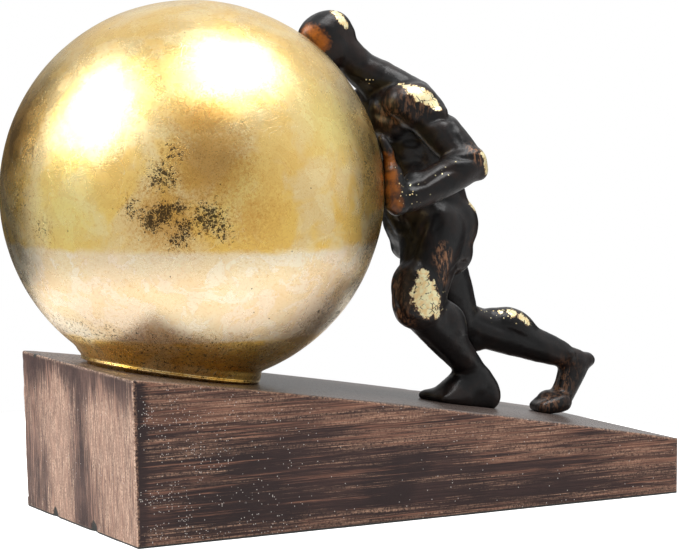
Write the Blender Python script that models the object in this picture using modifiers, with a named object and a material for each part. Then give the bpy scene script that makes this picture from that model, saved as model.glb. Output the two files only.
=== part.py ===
"""A bronze man pushing a gilt ball up a painted wooden ramp.

Three pieces: the ramp, the ball that sits on its tall end, and the man, cast in
one, whose head and hands rest on the ball and whose feet rest on the ramp.
The frame has its origin at the middle of the ramp's underside, with +X running
down the ramp and +Z up. The man's left side is at -Y.
"""
import math

import bmesh
import bpy
from mathutils import Matrix, Vector

MM = 0.001

# Ramp
SLOPE = math.radians(9.33)
LOW_END = 24.0 * MM
RAMP_WIDTH = 110.4 * MM
TOP_CROWN = 1.8 * MM
END_LEAN = 0.8 * MM
RAMP_EDGE = 1.2 * MM
LOW_CORNER = 3.0 * MM
TAIL = 18.5 * MM

# Ball
BALL_RADIUS = 80.0 * MM
BALL_INSET = 40.2 * MM
SEAT_DEPTH = 4.8 * MM
FOOT_HEIGHT = 3.6 * MM
FOOT_FLARE = 0.9 * MM

# Gap left between pieces that touch
GAP = 0.3 * MM

# The man's pose and build are written in shares of the ball's radius, eighty to the radius
RADIUS_SHARES = 80
REACH_SHARES = 207
GRAIN_SHARES = 0.85
HAND_TURN = math.radians(29.5)

# How fine the shapes are
BALL_STEPS = 60
ARC_STEPS = 29
CROWN_STEPS = 16
KEPT_FACES = 0.035

RAMP_LENGTH = BALL_INSET + REACH_SHARES / RADIUS_SHARES * BALL_RADIUS * math.cos(SLOPE) + TAIL
TALL_END = LOW_END + RAMP_LENGTH * math.tan(SLOPE)


def ramp_top(x):
    """Height of the ramp's top at x, along its slightly crowned slope."""
    t = x / RAMP_LENGTH + 0.5
    return TALL_END + (LOW_END - TALL_END) * t + 4 * TOP_CROWN * t * (1 - t)


SEAT_X = BALL_INSET - RAMP_LENGTH / 2
SEAT_CHORD = TALL_END - BALL_INSET * math.tan(SLOPE)
SEAT_RISE = (ramp_top(SEAT_X) - SEAT_CHORD) * math.cos(SLOPE)
BALL_HEIGHT = SEAT_RISE + BALL_RADIUS - SEAT_DEPTH

# The slope's own frame: x downhill from the ball's seat, y across, z square to the slope
SLOPE_FRAME = Matrix.Translation((SEAT_X, 0, SEAT_CHORD)) @ Matrix.Rotation(SLOPE, 4, "Y")


def clear_scene():
    """Remove every object that the file already has."""
    for obj in list(bpy.data.objects):
        bpy.data.objects.remove(obj, do_unlink=True)


def collection(name):
    """Return a new collection linked to the scene."""
    group = bpy.data.collections.new(name)
    bpy.context.scene.collection.children.link(group)
    return group


def material(name, colour, roughness, metallic):
    """Return a plain Principled material."""
    mat = bpy.data.materials.new(name)
    mat.use_nodes = True
    shader = mat.node_tree.nodes["Principled BSDF"]
    shader.inputs["Base Color"].default_value = (*colour, 1)
    shader.inputs["Roughness"].default_value = roughness
    shader.inputs["Metallic"].default_value = metallic
    mat.diffuse_color = (*colour, 1)
    return mat


def piece(name, mesh, group, mat=None):
    """Wrap a mesh in an object in the given collection."""
    obj = bpy.data.objects.new(name, mesh)
    group.objects.link(obj)
    if mat:
        mesh.materials.append(mat)
    return obj


def hide_cutter(obj):
    """Mark an object as a tool that only cuts others."""
    obj.hide_render = True
    obj.display_type = "WIRE"
    return obj


def to_mesh(bm, name):
    """Turn a bmesh into a mesh with its faces pointing out."""
    bmesh.ops.recalc_face_normals(bm, faces=bm.faces)
    mesh = bpy.data.meshes.new(name)
    bm.to_mesh(mesh)
    bm.free()
    return mesh


def cut(obj, cutter):
    """Take the cutter's space out of the object."""
    mod = obj.modifiers.new("clear of " + cutter.name, "BOOLEAN")
    mod.operation = "DIFFERENCE"
    mod.solver = "EXACT"
    mod.object = cutter


def wedge(name, lift, spread, floor, group, mat=None):
    """A block under the ramp's top, whose top is raised by lift.

    The sides stand out by spread and the underside is at the height floor.
    """
    bm = bmesh.new()
    bmesh.ops.create_cube(bm, size=1)
    across = [e for e in bm.edges if abs(e.verts[0].co.x - e.verts[1].co.x) > 0.5]
    bmesh.ops.subdivide_edges(bm, edges=across, cuts=CROWN_STEPS - 1, use_grid_fill=True)
    for v in bm.verts:
        x = v.co.x * (RAMP_LENGTH + 2 * spread)
        top = ramp_top(x) + lift
        v.co = (x, v.co.y * (RAMP_WIDTH + 2 * spread), top if v.co.z > 0 else floor)
    return piece(name, to_mesh(bm, name), group, mat)


def make_ramp(group):
    """The wooden ramp: a crowned slope between a tall end and a low end."""
    paint = material("painted wood", (0.17, 0.10, 0.085), 0.55, 0.0)
    ramp = wedge("ramp", 0, 0, 0, group, paint)
    bm = bmesh.new()
    bm.from_mesh(ramp.data)
    corners = []
    for v in bm.verts:
        if v.co.x < -RAMP_LENGTH / 2 + RAMP_EDGE and v.co.z < TALL_END / 2:
            v.co.x += END_LEAN
    for e in bm.edges:
        ends = [v.co for v in e.verts]
        upright = abs(ends[0].z - ends[1].z) > LOW_END / 2
        if upright and min(c.x for c in ends) > RAMP_LENGTH / 2 - RAMP_EDGE:
            corners.append(e)
    bmesh.ops.bevel(bm, geom=corners, offset=LOW_CORNER, segments=3, profile=0.5, affect="EDGES")
    bm.to_mesh(ramp.data)
    bm.free()
    worn = ramp.modifiers.new("worn edges", "BEVEL")
    worn.width = RAMP_EDGE
    worn.segments = 2
    worn.limit_method = "ANGLE"
    worn.angle_limit = math.radians(40)
    return ramp


def ball_profile():
    """The ball's outline from its top down its outer side to under its foot."""
    sink = BALL_RADIUS - SEAT_DEPTH - FOOT_HEIGHT
    waist = math.acos(-sink / BALL_RADIUS)
    points = []
    for i in range(ARC_STEPS + 1):
        a = waist * i / ARC_STEPS
        points.append((BALL_RADIUS * math.sin(a), BALL_RADIUS * math.cos(a)))
    foot = points[-1][0] + FOOT_FLARE
    return points + [(foot, SEAT_DEPTH - BALL_RADIUS), (foot, -BALL_RADIUS), (0, -BALL_RADIUS)]


def make_ball(group):
    """The gilt ball: a turned solid whose low foot sits flat on the ramp."""
    bm = bmesh.new()
    verts = [bm.verts.new((x, 0, z)) for x, z in ball_profile()]
    for a, b in zip(verts, verts[1:]):
        bm.edges.new((a, b))
    mesh = bpy.data.meshes.new("ball")
    bm.to_mesh(mesh)
    bm.free()
    gold = material("gold leaf", (0.83, 0.62, 0.24), 0.28, 1.0)
    ball = piece("ball", mesh, group, gold)
    ball.matrix_world = SLOPE_FRAME @ Matrix.Translation((0, 0, BALL_HEIGHT))
    turn = ball.modifiers.new("turned", "SCREW")
    turn.steps = BALL_STEPS
    turn.render_steps = BALL_STEPS
    turn.use_merge_vertices = True
    turn.merge_threshold = 0.00005
    return ball


class Clay:
    """Solid lumps in the slope's frame, gathered to be fused into one figure."""

    SIDES = 20
    RINGS = 12

    def __init__(self):
        self.bm = bmesh.new()

    def spindle(self, a, b, ends, swell=None, flat=1.0, across=(0, 1, 0)):
        """Add a limb from a to b, given the radii at its ends and halfway.

        flat scales its thickness square to the direction across.
        """
        a, b = Vector(a), Vector(b)
        ra, rb = ends
        rm = swell if swell else (ra + rb) / 2
        axis = (b - a).normalized()
        side = Vector(across) - axis * Vector(across).dot(axis)
        side.normalize()
        thick = axis.cross(side) * flat
        ball = bmesh.ops.create_uvsphere(self.bm, u_segments=self.SIDES, v_segments=self.RINGS, radius=1)
        for v in ball["verts"]:
            lat = math.asin(max(-1, min(1, v.co.z))) / (math.pi / 2)
            t = min(1, max(0, 0.5 + lat))
            radius = ra * (1 - t) * (1 - 2 * t) + rm * 4 * t * (1 - t) + rb * t * (2 * t - 1)
            ring = math.hypot(v.co.x, v.co.y)
            beyond = max(0, abs(lat) - 0.5) * 2
            reach = math.sin(beyond * math.pi / 2) * (1 if lat > 0 else -1) * radius
            girth = math.cos(beyond * math.pi / 2) * radius / ring if ring > 1e-6 else 0
            v.co = a.lerp(b, t) + axis * reach + (side * v.co.x + thick * v.co.y) * girth

    def lump(self, centre, radii, lean=(0, 0, 0)):
        """Add an ellipsoid, turned by the angles lean in degrees."""
        turn = Matrix.Rotation(math.radians(lean[2]), 4, "Z") @ Matrix.Rotation(math.radians(lean[1]), 4, "Y")
        turn = turn @ Matrix.Rotation(math.radians(lean[0]), 4, "X")
        place = Matrix.Translation(centre) @ turn @ Matrix.Diagonal((*radii, 1))
        bmesh.ops.create_uvsphere(self.bm, u_segments=self.SIDES, v_segments=self.RINGS, radius=1, matrix=place)


def on_ball(turn, rise, lift):
    """A point above the ball: degrees round from downhill, degrees up, and height off it."""
    turn, rise = math.radians(turn), math.radians(rise)
    reach = RADIUS_SHARES + lift
    level = reach * math.cos(rise)
    middle = BALL_HEIGHT / BALL_RADIUS * RADIUS_SHARES
    return Vector((level * math.cos(turn), level * math.sin(turn), middle + reach * math.sin(rise)))


def add_trunk(clay):
    """Pelvis, belly, ribs, back and the yoke of the shoulders."""
    clay.lump((115, 1, 78), (16, 17, 14), (0, -20, 0))
    clay.lump((124, -8, 79), (11.5, 10, 13), (0, -15, 0))
    clay.lump((126.5, 9, 76), (11, 10, 12.5), (0, -10, 0))
    clay.lump((116.5, 0, 89), (12.5, 16, 12), (0, -20, 0))
    clay.lump((123.5, -9, 67), (10.5, 9, 11), (0, 10, 0))
    clay.lump((107.5, -1, 76), (9.5, 11.5, 9.5))
    clay.spindle((111, 1, 80), (103, 0, 104), (16.5, 16.5), 15.5, 0.98)
    clay.lump((98, 0, 115), (17, 19.5, 19), (0, -30, 0))
    clay.lump((91, 1, 126), (11, 22, 9.5), (0, -30, 0))
    clay.spindle((75, 0, 138.6), (98, 1, 129), (8.5, 10.5), 9.5, 0.9)
    for side, back in ((-1, 0), (1, 2)):
        clay.lump((83.5 + back, side * 9, 119), (9, 11.5, 9.5), (0, -30, 0))
        clay.lump((99.5 + back, side * 9, 121.5), (8, 9.5, 10.5), (0, -35, 0))
        clay.spindle((99 + back, side * 14.5, 118), (116 + back / 2, side * 10, 92), (8.5, 7), 8.6)
        clay.spindle((104 + back, side * 5, 126), (120.5, side * 5, 94), (6, 6.5), 6.2)
        clay.spindle((79, side * 3, 137), (90 + back, side * 16, 129), (8.4, 7.6), 8)


def add_head(clay):
    """Neck and smooth head, laid with its face on the ball."""
    clay.spindle((89, 0, 129), (63, 0, 144.8), (10.5, 9), 8.6)
    clay.lump(on_ball(0, 55.8, 10.6), (12.6, 9, 8.8), (0, -32, 0))
    clay.lump(on_ball(0, 52.5, 7), (10, 8.6, 11), (0, 36, 0))


def add_arm(clay, shoulder, elbow, wrist, side):
    """One arm, from the shoulder's cap to the wrist."""
    shoulder, elbow, wrist = Vector(shoulder), Vector(elbow), Vector(wrist)
    along = (elbow - shoulder).normalized()
    rear = along.cross(Vector((0, 1, 0))).normalized()
    clay.lump(shoulder + Vector((-1.6, side, -0.4)), (9.8, 9.2, 10.6))
    clay.spindle(shoulder + Vector((0, -4 * side, 3.4)), shoulder.lerp(elbow, 0.5) - rear * 1.6, (8.4, 6.6), 9)
    clay.spindle(shoulder, elbow, (8.4, 6.8), 8.4)
    clay.spindle(shoulder.lerp(elbow, 0.25) + rear * 1.4, shoulder.lerp(elbow, 0.9) + rear * 1.4, (5.6, 5.4), 7)
    clay.spindle(shoulder.lerp(elbow, 0.25) - rear * 2.6, shoulder.lerp(elbow, 0.9) - rear * 1.6, (5.4, 5.2), 7.0)
    clay.spindle(elbow, wrist, (7.2, 5.2), 7.8)
    clay.spindle(elbow + Vector((-1, side * 1.4, 1.4)), elbow.lerp(wrist, 0.6), (6.6, 5.4), 7.6)
    clay.lump(elbow + Vector((3.4, side * 1.2, -0.6)), (4.9, 4.8, 4.8))


def add_hand(clay, wrist, side):
    """One open hand, laid up the ball with its fingers on top."""
    wrist = Vector(wrist)
    turn = math.degrees(HAND_TURN) * side
    heel, knuckles = on_ball(turn, 5, 3.4), on_ball(turn, 14.5, 2.6)
    up = (knuckles - heel).normalized()
    across = up.cross(on_ball(turn, 10, 1) - on_ball(turn, 10, 0)).normalized()
    clay.spindle(wrist, heel.lerp(knuckles, 0.35), (5.2, 4.2), 5.4, 0.85, across)
    clay.spindle(heel - across * 3.6, knuckles - across * 4.2, (4.2, 3.2), 4.2, 0.9, across)
    clay.spindle(heel + across * 3.6, knuckles + across * 4.2, (4.2, 3.2), 4.2, 0.9, across)
    clay.spindle(heel, knuckles, (4.4, 3.2), 4.2, 0.9, across)
    for step in (-1.5, -0.5, 0.5, 1.5):
        spread = step * 3.0 * side
        reach = 24.5 - 0.9 * abs(step - 0.3)
        root = on_ball(turn, 14, 2.6) + across * step * 3.9
        bend = on_ball(turn + spread * 0.9, 19.5, 3.2)
        end = on_ball(turn + spread, reach, 1.9)
        clay.spindle(root, bend, (2.9, 2.4), 2.6)
        clay.spindle(bend, end, (2.4, 1.9), 2.3)
    inner = across if across.y * side < 0 else -across
    clay.spindle(heel + inner * 2, heel + inner * 9 + up * 5, (3.8, 2.7), 3.6)
    clay.spindle(heel + inner * 9 + up * 5, heel + inner * 11.5 + up * 10, (2.6, 2.0), 2.4)


def add_leg(clay, hip, knee, ankle, side, thigh, calf_at):
    """One leg, from the hip to the ankle, given the thigh's radius and the calf's place."""
    hip, knee, ankle = Vector(hip), Vector(knee), Vector(ankle)
    down = (knee - hip).normalized()
    front = (Vector((-1, 0, 0)) + down * down.x).normalized()
    clay.spindle(hip, knee, (thigh, 10), thigh)
    clay.spindle(hip.lerp(knee, 0.3) + front * 2.4, knee - down * 3 + front * 4, (9, 8.2), 12)
    clay.spindle(hip.lerp(knee, 0.05) - front * 4, knee - down * 9 - front * 3.2, (9, 6.4), thigh - 4.6)
    clay.lump(knee + front * 2.8, (9.6, 9.2, 9.8))
    along = (ankle - knee).normalized()
    behind = Vector((-along.z, 0, along.x)).normalized()
    clay.spindle(knee, ankle, (9.0, 5.2), 7.9)
    calf = knee.lerp(ankle, calf_at) + behind * 4.4
    clay.spindle(calf - along * 10, calf + along * 12, (6.4, 4.4), 9.0)


def add_flat_foot(clay, ankle):
    """The left foot, flat on the slope."""
    ankle = Vector(ankle)
    clay.spindle(ankle, ankle + Vector((7, 0, -7)), (5.4, 6.4), 6.2)
    clay.lump(ankle + Vector((7.2, 0, -9.5)), (7.4, 6.6, 7.5))
    clay.spindle(ankle + Vector((1, 0, -3)), ankle + Vector((-15, -1, -11)), (7.4, 5), 6.8)
    clay.spindle(ankle + Vector((7, -1, -12)), ankle + Vector((-13, -4.4, -12.6)), (4.6, 3.8), 4.0)
    for step in range(5):
        across = -6.2 + 2.9 * step
        tip = ankle + Vector((-18.4 - 0.8 * step, across - 0.8, -12.6))
        clay.spindle(ankle + Vector((-6, across * 0.7, -11)), tip, (4.4, 2.3 + 0.12 * step), 3.6)


def add_raised_foot(clay, ankle):
    """The right foot, up on its toes."""
    ankle = Vector(ankle)
    ball = Vector((202.3, ankle.y - 0.5, 6.0))
    clay.lump(ankle + Vector((9.2, 0, -3.0)), (7.4, 6.2, 5.6))
    clay.spindle(ankle, ankle + Vector((7.5, 0, -1.5)), (5.2, 5.4), 5.2)
    clay.spindle(ankle + Vector((4.5, 0, -2)), ball, (6.4, 5.2), 5.2)
    clay.spindle(ankle + Vector((10.2, 0, -4)), ball + Vector((2.0, 0, 1)), (5.2, 4.4), 4.8)
    for step in range(5):
        across = 5.8 - 2.9 * step
        tip = Vector((195 - 0.7 * step, ball.y + across, 3.0))
        clay.spindle(ball + Vector((0, across * 0.8, 0.6)), tip, (4.6, 2.6 + 0.12 * step), 4.0)


def make_figure(group, cutters):
    """The man, cast in one: a lunge up the slope with both hands on the ball."""
    clay = Clay()
    add_trunk(clay)
    add_head(clay)
    add_arm(clay, (89.5, -21, 126), (107.5, -41, 104.4), (79, -41.5, 87), -1)
    add_arm(clay, (92.5, 18, 124), (110, 37, 104), (80, 41, 88), 1)
    add_hand(clay, (79, -41.5, 87), -1)
    add_hand(clay, (80, 41, 88), 1)
    add_leg(clay, (114, -8, 76), (105.5, -20, 41), (145, -8.5, 16), -1, 14.4, 0.34)
    add_leg(clay, (119.5, 9, 74), (148.5, 18, 37), (202, 9.5, 27.4), 1, 13, 0.48)
    add_flat_foot(clay, (145, -8.5, 16))
    add_raised_foot(clay, (202, 9.5, 27))
    for v in clay.bm.verts:
        v.co *= BALL_RADIUS / RADIUS_SHARES
    bronze = material("dark bronze", (0.035, 0.030, 0.032), 0.38, 0.6)
    figure = piece("figure", to_mesh(clay.bm, "figure"), group, bronze)
    figure.matrix_world = SLOPE_FRAME
    fuse = figure.modifiers.new("fused", "REMESH")
    fuse.mode = "VOXEL"
    fuse.voxel_size = GRAIN_SHARES / RADIUS_SHARES * BALL_RADIUS
    smooth = figure.modifiers.new("blended", "SMOOTH")
    smooth.factor = 0.5
    smooth.iterations = 14
    thin = figure.modifiers.new("thinned", "DECIMATE")
    thin.ratio = KEPT_FACES
    for cutter in cutters:
        cut(figure, cutter)
    return figure


def main():
    """Build the three pieces and the tools that part them."""
    clear_scene()
    parts = collection("sisyphus statue")
    tools = collection("cutters")
    ramp_tool = hide_cutter(wedge("ramp room", GAP, BALL_INSET, -TALL_END, tools))
    bm = bmesh.new()
    bmesh.ops.create_uvsphere(bm, u_segments=BALL_STEPS, v_segments=BALL_STEPS // 2, radius=BALL_RADIUS + GAP)
    ball_tool = hide_cutter(piece("ball room", to_mesh(bm, "ball room"), tools))
    ball_tool.matrix_world = SLOPE_FRAME @ Matrix.Translation((0, 0, BALL_HEIGHT))
    make_ramp(parts)
    ball = make_ball(parts)
    cut(ball, ramp_tool)
    make_figure(parts, (ball_tool, ramp_tool))


main()
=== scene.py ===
"""Looks of a bronze man pushing a gilt ball up a painted ramp.

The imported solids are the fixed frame. Each is replaced by a finer piece that stays inside it: the figure is
modelled from muscle-sized lumps, fused and carved, and the ball and the ramp are worn and weathered.
Lengths are millimetres in the slope's frame (x downhill from the ball's seat, y across, z square to the
slope) until a piece is placed.
"""
import logging
import math
from dataclasses import dataclass, field
from enum import Enum
from typing import Iterable, Optional, Sequence, Union

import bmesh
import bpy
import numpy as np
from mathutils import Matrix, Vector
from mathutils.bvhtree import BVHTree


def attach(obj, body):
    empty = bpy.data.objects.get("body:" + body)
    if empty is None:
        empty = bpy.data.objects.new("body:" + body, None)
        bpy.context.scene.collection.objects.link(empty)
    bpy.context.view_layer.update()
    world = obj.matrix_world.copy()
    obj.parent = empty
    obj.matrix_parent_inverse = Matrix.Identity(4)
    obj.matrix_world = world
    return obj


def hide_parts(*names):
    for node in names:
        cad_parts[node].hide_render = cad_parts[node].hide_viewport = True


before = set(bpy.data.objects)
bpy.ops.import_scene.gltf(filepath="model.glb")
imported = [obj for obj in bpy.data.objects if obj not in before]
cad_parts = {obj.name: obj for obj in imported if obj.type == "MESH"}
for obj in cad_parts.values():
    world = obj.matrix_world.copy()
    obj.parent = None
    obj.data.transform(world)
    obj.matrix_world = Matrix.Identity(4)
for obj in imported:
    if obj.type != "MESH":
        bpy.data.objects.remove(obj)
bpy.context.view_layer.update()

LOG = logging.getLogger("statue")
MM = 0.001

Triple = Sequence[float]
Socket = bpy.types.NodeSocket
Material = bpy.types.Material
Piece = bpy.types.Object
Input = Union[float, Sequence[float], Socket]


class Role(Enum):
    """The statue's pieces, by the name of the CAD node that each replaces."""

    RAMP = "ramp"
    BALL = "ball"
    FIGURE = "figure"


class Side(Enum):
    """The figure's sides, by the sign of their y."""

    LEFT = -1
    RIGHT = 1


@dataclass(frozen=True)
class Slope:
    """The ramp's size and the ball's seat on it, in millimetres.

    Args:
        angle: Slope of the top's chord, in degrees.
        low_end: Height of the low end.
        width: Width across the slope.
        crown: Rise of the arched top over its chord.
        seat: Distance of the ball's seat from the tall end, along the floor.
        reach: Distance from the seat to the tail, along the slope.
        tail: Rest of the length, along the floor.
        radius: Radius of the ball.
        sink: Depth by which the ball's lowest point lies under the top.
    """

    angle: float = 9.33
    low_end: float = 24.0
    width: float = 110.4
    crown: float = 1.8
    seat: float = 40.2
    reach: float = 207.0
    tail: float = 18.5
    radius: float = 80.0
    sink: float = 4.8

    @property
    def pitch(self) -> float:
        """Slope of the top's chord, in radians."""
        return math.radians(self.angle)

    @property
    def length(self) -> float:
        """Length of the ramp along the floor."""
        return self.seat + self.reach * math.cos(self.pitch) + self.tail

    @property
    def tall_end(self) -> float:
        """Height of the tall end."""
        return self.low_end + self.length * math.tan(self.pitch)

    def top(self, x: Union[float, np.ndarray]) -> Union[float, np.ndarray]:
        """Return the height of the top."""
        t = x / self.length + 0.5
        return self.tall_end + (self.low_end - self.tall_end) * t + 4 * self.crown * t * (1 - t)

    @property
    def seat_x(self) -> float:
        """Place of the ball's seat along the floor, from the middle of the ramp."""
        return self.seat - self.length / 2

    @property
    def chord(self) -> float:
        """Height of the top's chord at the ball's seat."""
        return self.tall_end - self.seat * math.tan(self.pitch)

    @property
    def ball_height(self) -> float:
        """Height of the ball's centre over the chord, square to the slope."""
        return (self.top(self.seat_x) - self.chord) * math.cos(self.pitch) + self.radius - self.sink

    @property
    def matrix(self) -> Matrix:
        """Matrix from the slope's frame to the row frame, both in millimetres."""
        return Matrix.Translation((self.seat_x, 0, self.chord)) @ Matrix.Rotation(self.pitch, 4, "Y")


SLOPE = Slope()


def put(name: str, data: bpy.types.ID) -> Piece:
    """Make an object at the origin and link it to the scene.

    Args:
        name: Name of the object.
        data: Its mesh, camera or light.

    Returns:
        The object.
    """
    obj = bpy.data.objects.new(name, data)
    bpy.context.scene.collection.objects.link(obj)
    return obj


def ramped(values: np.ndarray, start: float, end: float) -> np.ndarray:
    """Return how far values lie on the way from one bound to another.

    Args:
        values: The values.
        start: Bound that gives 0.
        end: Bound that gives 1.

    Returns:
        Numbers from 0 to 1.
    """
    return np.clip((values - start) / (end - start), 0, 1)


def bell(values: np.ndarray, middle: float, width: float) -> np.ndarray:
    """Return a bell curve of height 1 over a middle.

    Args:
        values: The values.
        middle: Value that gives 1.
        width: Distance from the middle at which it has fallen to 0.37.

    Returns:
        Numbers from 0 to 1.
    """
    return np.exp(-((values - middle) / width) ** 2)


def distance(points: np.ndarray, place: Triple) -> np.ndarray:
    """Return the distance of many points from one place.

    Args:
        points: Points, one to a row.
        place: The place.

    Returns:
        One distance a point.
    """
    return np.linalg.norm(points - np.array(place), axis=1)


@dataclass(frozen=True)
class Eye:
    """The camera's place and lens.

    Args:
        azimuth: Degrees round the statue, 0 looking along +Y.
        elevation: Degrees above the horizon.
        place: Place in metres, in the row frame.
        lens: Focal length in millimetres.
        sensor: Width of the sensor in millimetres.
        clip: Nearest and farthest depth that it sees, in metres.
    """

    azimuth: float = -29.39
    elevation: float = 5.55
    place: tuple = (-0.59420, -1.03938, 0.21347)
    lens: float = 148.46
    sensor: float = 36.0
    clip: tuple = (0.05, 30.0)

    def build(self) -> Piece:
        """Make the camera and set it as the scene's.

        Returns:
            The camera object.
        """
        cam = put("camera", bpy.data.cameras.new("camera"))
        az, el = math.radians(self.azimuth), math.radians(self.elevation)
        back = Vector((math.sin(az) * math.cos(el), -math.cos(az) * math.cos(el), math.sin(el)))
        right = Vector((0, 0, 1)).cross(back).normalized()
        turn = Matrix((right, back.cross(right), back)).transposed().to_4x4()
        cam.matrix_world = Matrix.Translation(self.place) @ turn
        cam.data.lens = self.lens
        cam.data.sensor_width = self.sensor
        cam.data.clip_start, cam.data.clip_end = self.clip
        bpy.context.scene.camera = cam
        return cam


@dataclass(frozen=True)
class Softbox:
    """One rectangular studio light.

    Args:
        name: Name of the light.
        place: Place in metres.
        aim: Point that it faces, in metres.
        size: Width and height in metres.
        power: Power in watts.
    """

    name: str
    place: tuple
    aim: tuple
    size: tuple
    power: float

    def build(self) -> Piece:
        """Make the light.

        Returns:
            The light object.
        """
        lamp = bpy.data.lights.new(self.name, "AREA")
        lamp.shape = "RECTANGLE"
        lamp.size, lamp.size_y = self.size
        lamp.energy = self.power
        obj = put(self.name, lamp)
        obj.location = self.place
        obj.rotation_mode = "QUATERNION"
        obj.rotation_quaternion = (Vector(self.aim) - Vector(self.place)).to_track_quat("-Z", "Y")
        return obj


class Weave:
    """Adds nodes to one node tree and links them."""

    def __init__(self, tree: bpy.types.NodeTree) -> None:
        """Keep the tree."""
        self.tree = tree

    def add(self, kind: str, **settings: object) -> bpy.types.Node:
        """Add one node.

        Args:
            kind: Type name of the node.
            settings: Properties to set on it.

        Returns:
            The new node.
        """
        node = self.tree.nodes.new(kind)
        for key, value in settings.items():
            setattr(node, key, value)
        return node

    def feed(self, socket: Socket, value: Input) -> None:
        """Link a socket to an input or give it a constant.

        Args:
            socket: Input socket.
            value: Another socket, or the constant.
        """
        if isinstance(value, Socket):
            self.tree.links.new(value, socket)
        else:
            socket.default_value = value

    def math(self, operation: str, a: Input, b: Input = 0.0, clamp: bool = False) -> Socket:
        """Return the result of one scalar operation.

        Args:
            operation: Name of the operation.
            a: First value.
            b: Second value.
            clamp: Keep the result between 0 and 1.

        Returns:
            The result.
        """
        node = self.add("ShaderNodeMath", operation=operation, use_clamp=clamp)
        self.feed(node.inputs[0], a)
        self.feed(node.inputs[1], b)
        return node.outputs[0]

    def times(self, a: Input, b: Input) -> Socket:
        """Return the product of two numbers."""
        return self.math("MULTIPLY", a, b)

    def plus(self, a: Input, b: Input) -> Socket:
        """Return the sum of two numbers."""
        return self.math("ADD", a, b)

    def less(self, a: Input, b: Input) -> Socket:
        """Return one number less another."""
        return self.math("SUBTRACT", a, b)

    def centred(self, noise: Input) -> Socket:
        """Return a noise moved down so that it lies about nought."""
        return self.less(noise, 0.5)

    def scaled(self, where: Input, *factors: float) -> Socket:
        """Return a place stretched along its axes."""
        return self.vector("MULTIPLY", where, factors if len(factors) == 3 else factors * 3)

    def swapped(self, where: Input) -> Socket:
        """Return a place with its first and last axes exchanged.

        Args:
            where: The place.

        Returns:
            The turned place.
        """
        parts = self.add("ShaderNodeSeparateXYZ")
        self.feed(parts.inputs[0], where)
        joined = self.add("ShaderNodeCombineXYZ")
        for target, source in zip(joined.inputs, (2, 1, 0)):
            self.feed(target, parts.outputs[source])
        return joined.outputs[0]

    def layers(self, base: Input, *coats: tuple) -> Socket:
        """Return a colour under several coats.

        Args:
            base: Colour underneath.
            coats: Share and colour of each coat, lowest first.

        Returns:
            The colour that shows.
        """
        for share, over in coats:
            base = self.tint(share, base, over)
        return base

    def dress(self, node: bpy.types.Node, looks: dict) -> None:
        """Link or set several inputs of a node, given by their names."""
        for name, value in looks.items():
            self.feed(node.inputs[name], value)

    def vector(self, operation: str, a: Input, b: Input) -> Socket:
        """Return the result of one vector operation.

        Args:
            operation: Name of the operation.
            a: First vector.
            b: Second vector.

        Returns:
            The result.
        """
        node = self.add("ShaderNodeVectorMath", operation=operation)
        self.feed(node.inputs[0], a)
        self.feed(node.inputs[1], b)
        return node.outputs[0]

    def noise(self, where: Input, scale: float, detail: float = 3, rough: float = 0.55,
              twist: float = 0) -> Socket:
        """Return fractal noise from 0 to 1.

        Args:
            where: Place of the point.
            scale: Bumps to each unit of the place.
            detail: Octaves.
            rough: Weight of each finer octave.
            twist: Distortion.

        Returns:
            The noise.
        """
        node = self.add("ShaderNodeTexNoise")
        self.feed(node.inputs["Vector"], where)
        self.dress(node, {"Scale": scale, "Detail": detail, "Roughness": rough, "Distortion": twist})
        return node.outputs[0]

    def cells(self, where: Input, scale: Input, feature: str = "F1") -> bpy.types.Node:
        """Add a cell texture.

        Args:
            where: Place of the point.
            scale: Cells to each unit of the place.
            feature: Feature that is measured.

        Returns:
            The texture node.
        """
        node = self.add("ShaderNodeTexVoronoi", feature=feature)
        self.feed(node.inputs["Vector"], where)
        self.feed(node.inputs["Scale"], scale)
        return node

    def step(self, value: Input, low: Input, high: Input, start: Input = 0.0,
             end: Input = 1.0) -> Socket:
        """Return a smooth step.

        Args:
            value: Value to map.
            low: Value that gives start.
            high: Value that gives end.
            start: Result below low.
            end: Result above high.

        Returns:
            The mapped value.
        """
        node = self.add("ShaderNodeMapRange", interpolation_type="SMOOTHSTEP")
        for socket, given in zip(node.inputs, (value, low, high, start, end)):
            self.feed(socket, given)
        return node.outputs[0]

    def tint(self, share: Input, a: Input, b: Input) -> Socket:
        """Return one colour laid over another.

        Args:
            share: Share of the second colour.
            a: First colour.
            b: Second colour.

        Returns:
            The mixed colour.
        """
        node = self.add("ShaderNodeMix", data_type="RGBA")
        self.feed(node.inputs[0], share)
        self.feed(node.inputs[6], colour(a))
        self.feed(node.inputs[7], colour(b))
        return node.outputs[2]

    def share(self, share: Input, a: Input, b: Input) -> Socket:
        """Return one number faded into another.

        Args:
            share: Share of the second number.
            a: First number.
            b: Second number.

        Returns:
            The mixed number.
        """
        node = self.add("ShaderNodeMix", data_type="FLOAT")
        self.feed(node.inputs[0], share)
        self.feed(node.inputs[2], a)
        self.feed(node.inputs[3], b)
        return node.outputs[0]

    def painted(self, name: str) -> Socket:
        """Return the value that the mesh carries under a name."""
        return self.add("ShaderNodeAttribute", attribute_name=name).outputs["Fac"]

    def bump(self, height: Input, strength: float, depth: float,
             normal: Optional[Socket] = None) -> Socket:
        """Return a normal bent by a height.

        Args:
            height: Height from 0 to 1.
            strength: Strength of the effect.
            depth: Height in metres that 1 stands for.
            normal: Normal to start from.

        Returns:
            The bent normal.
        """
        node = self.add("ShaderNodeBump")
        self.feed(node.inputs["Height"], height)
        self.dress(node, {"Strength": strength, "Distance": depth})
        if normal is not None:
            self.feed(node.inputs["Normal"], normal)
        return node.outputs[0]

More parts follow.
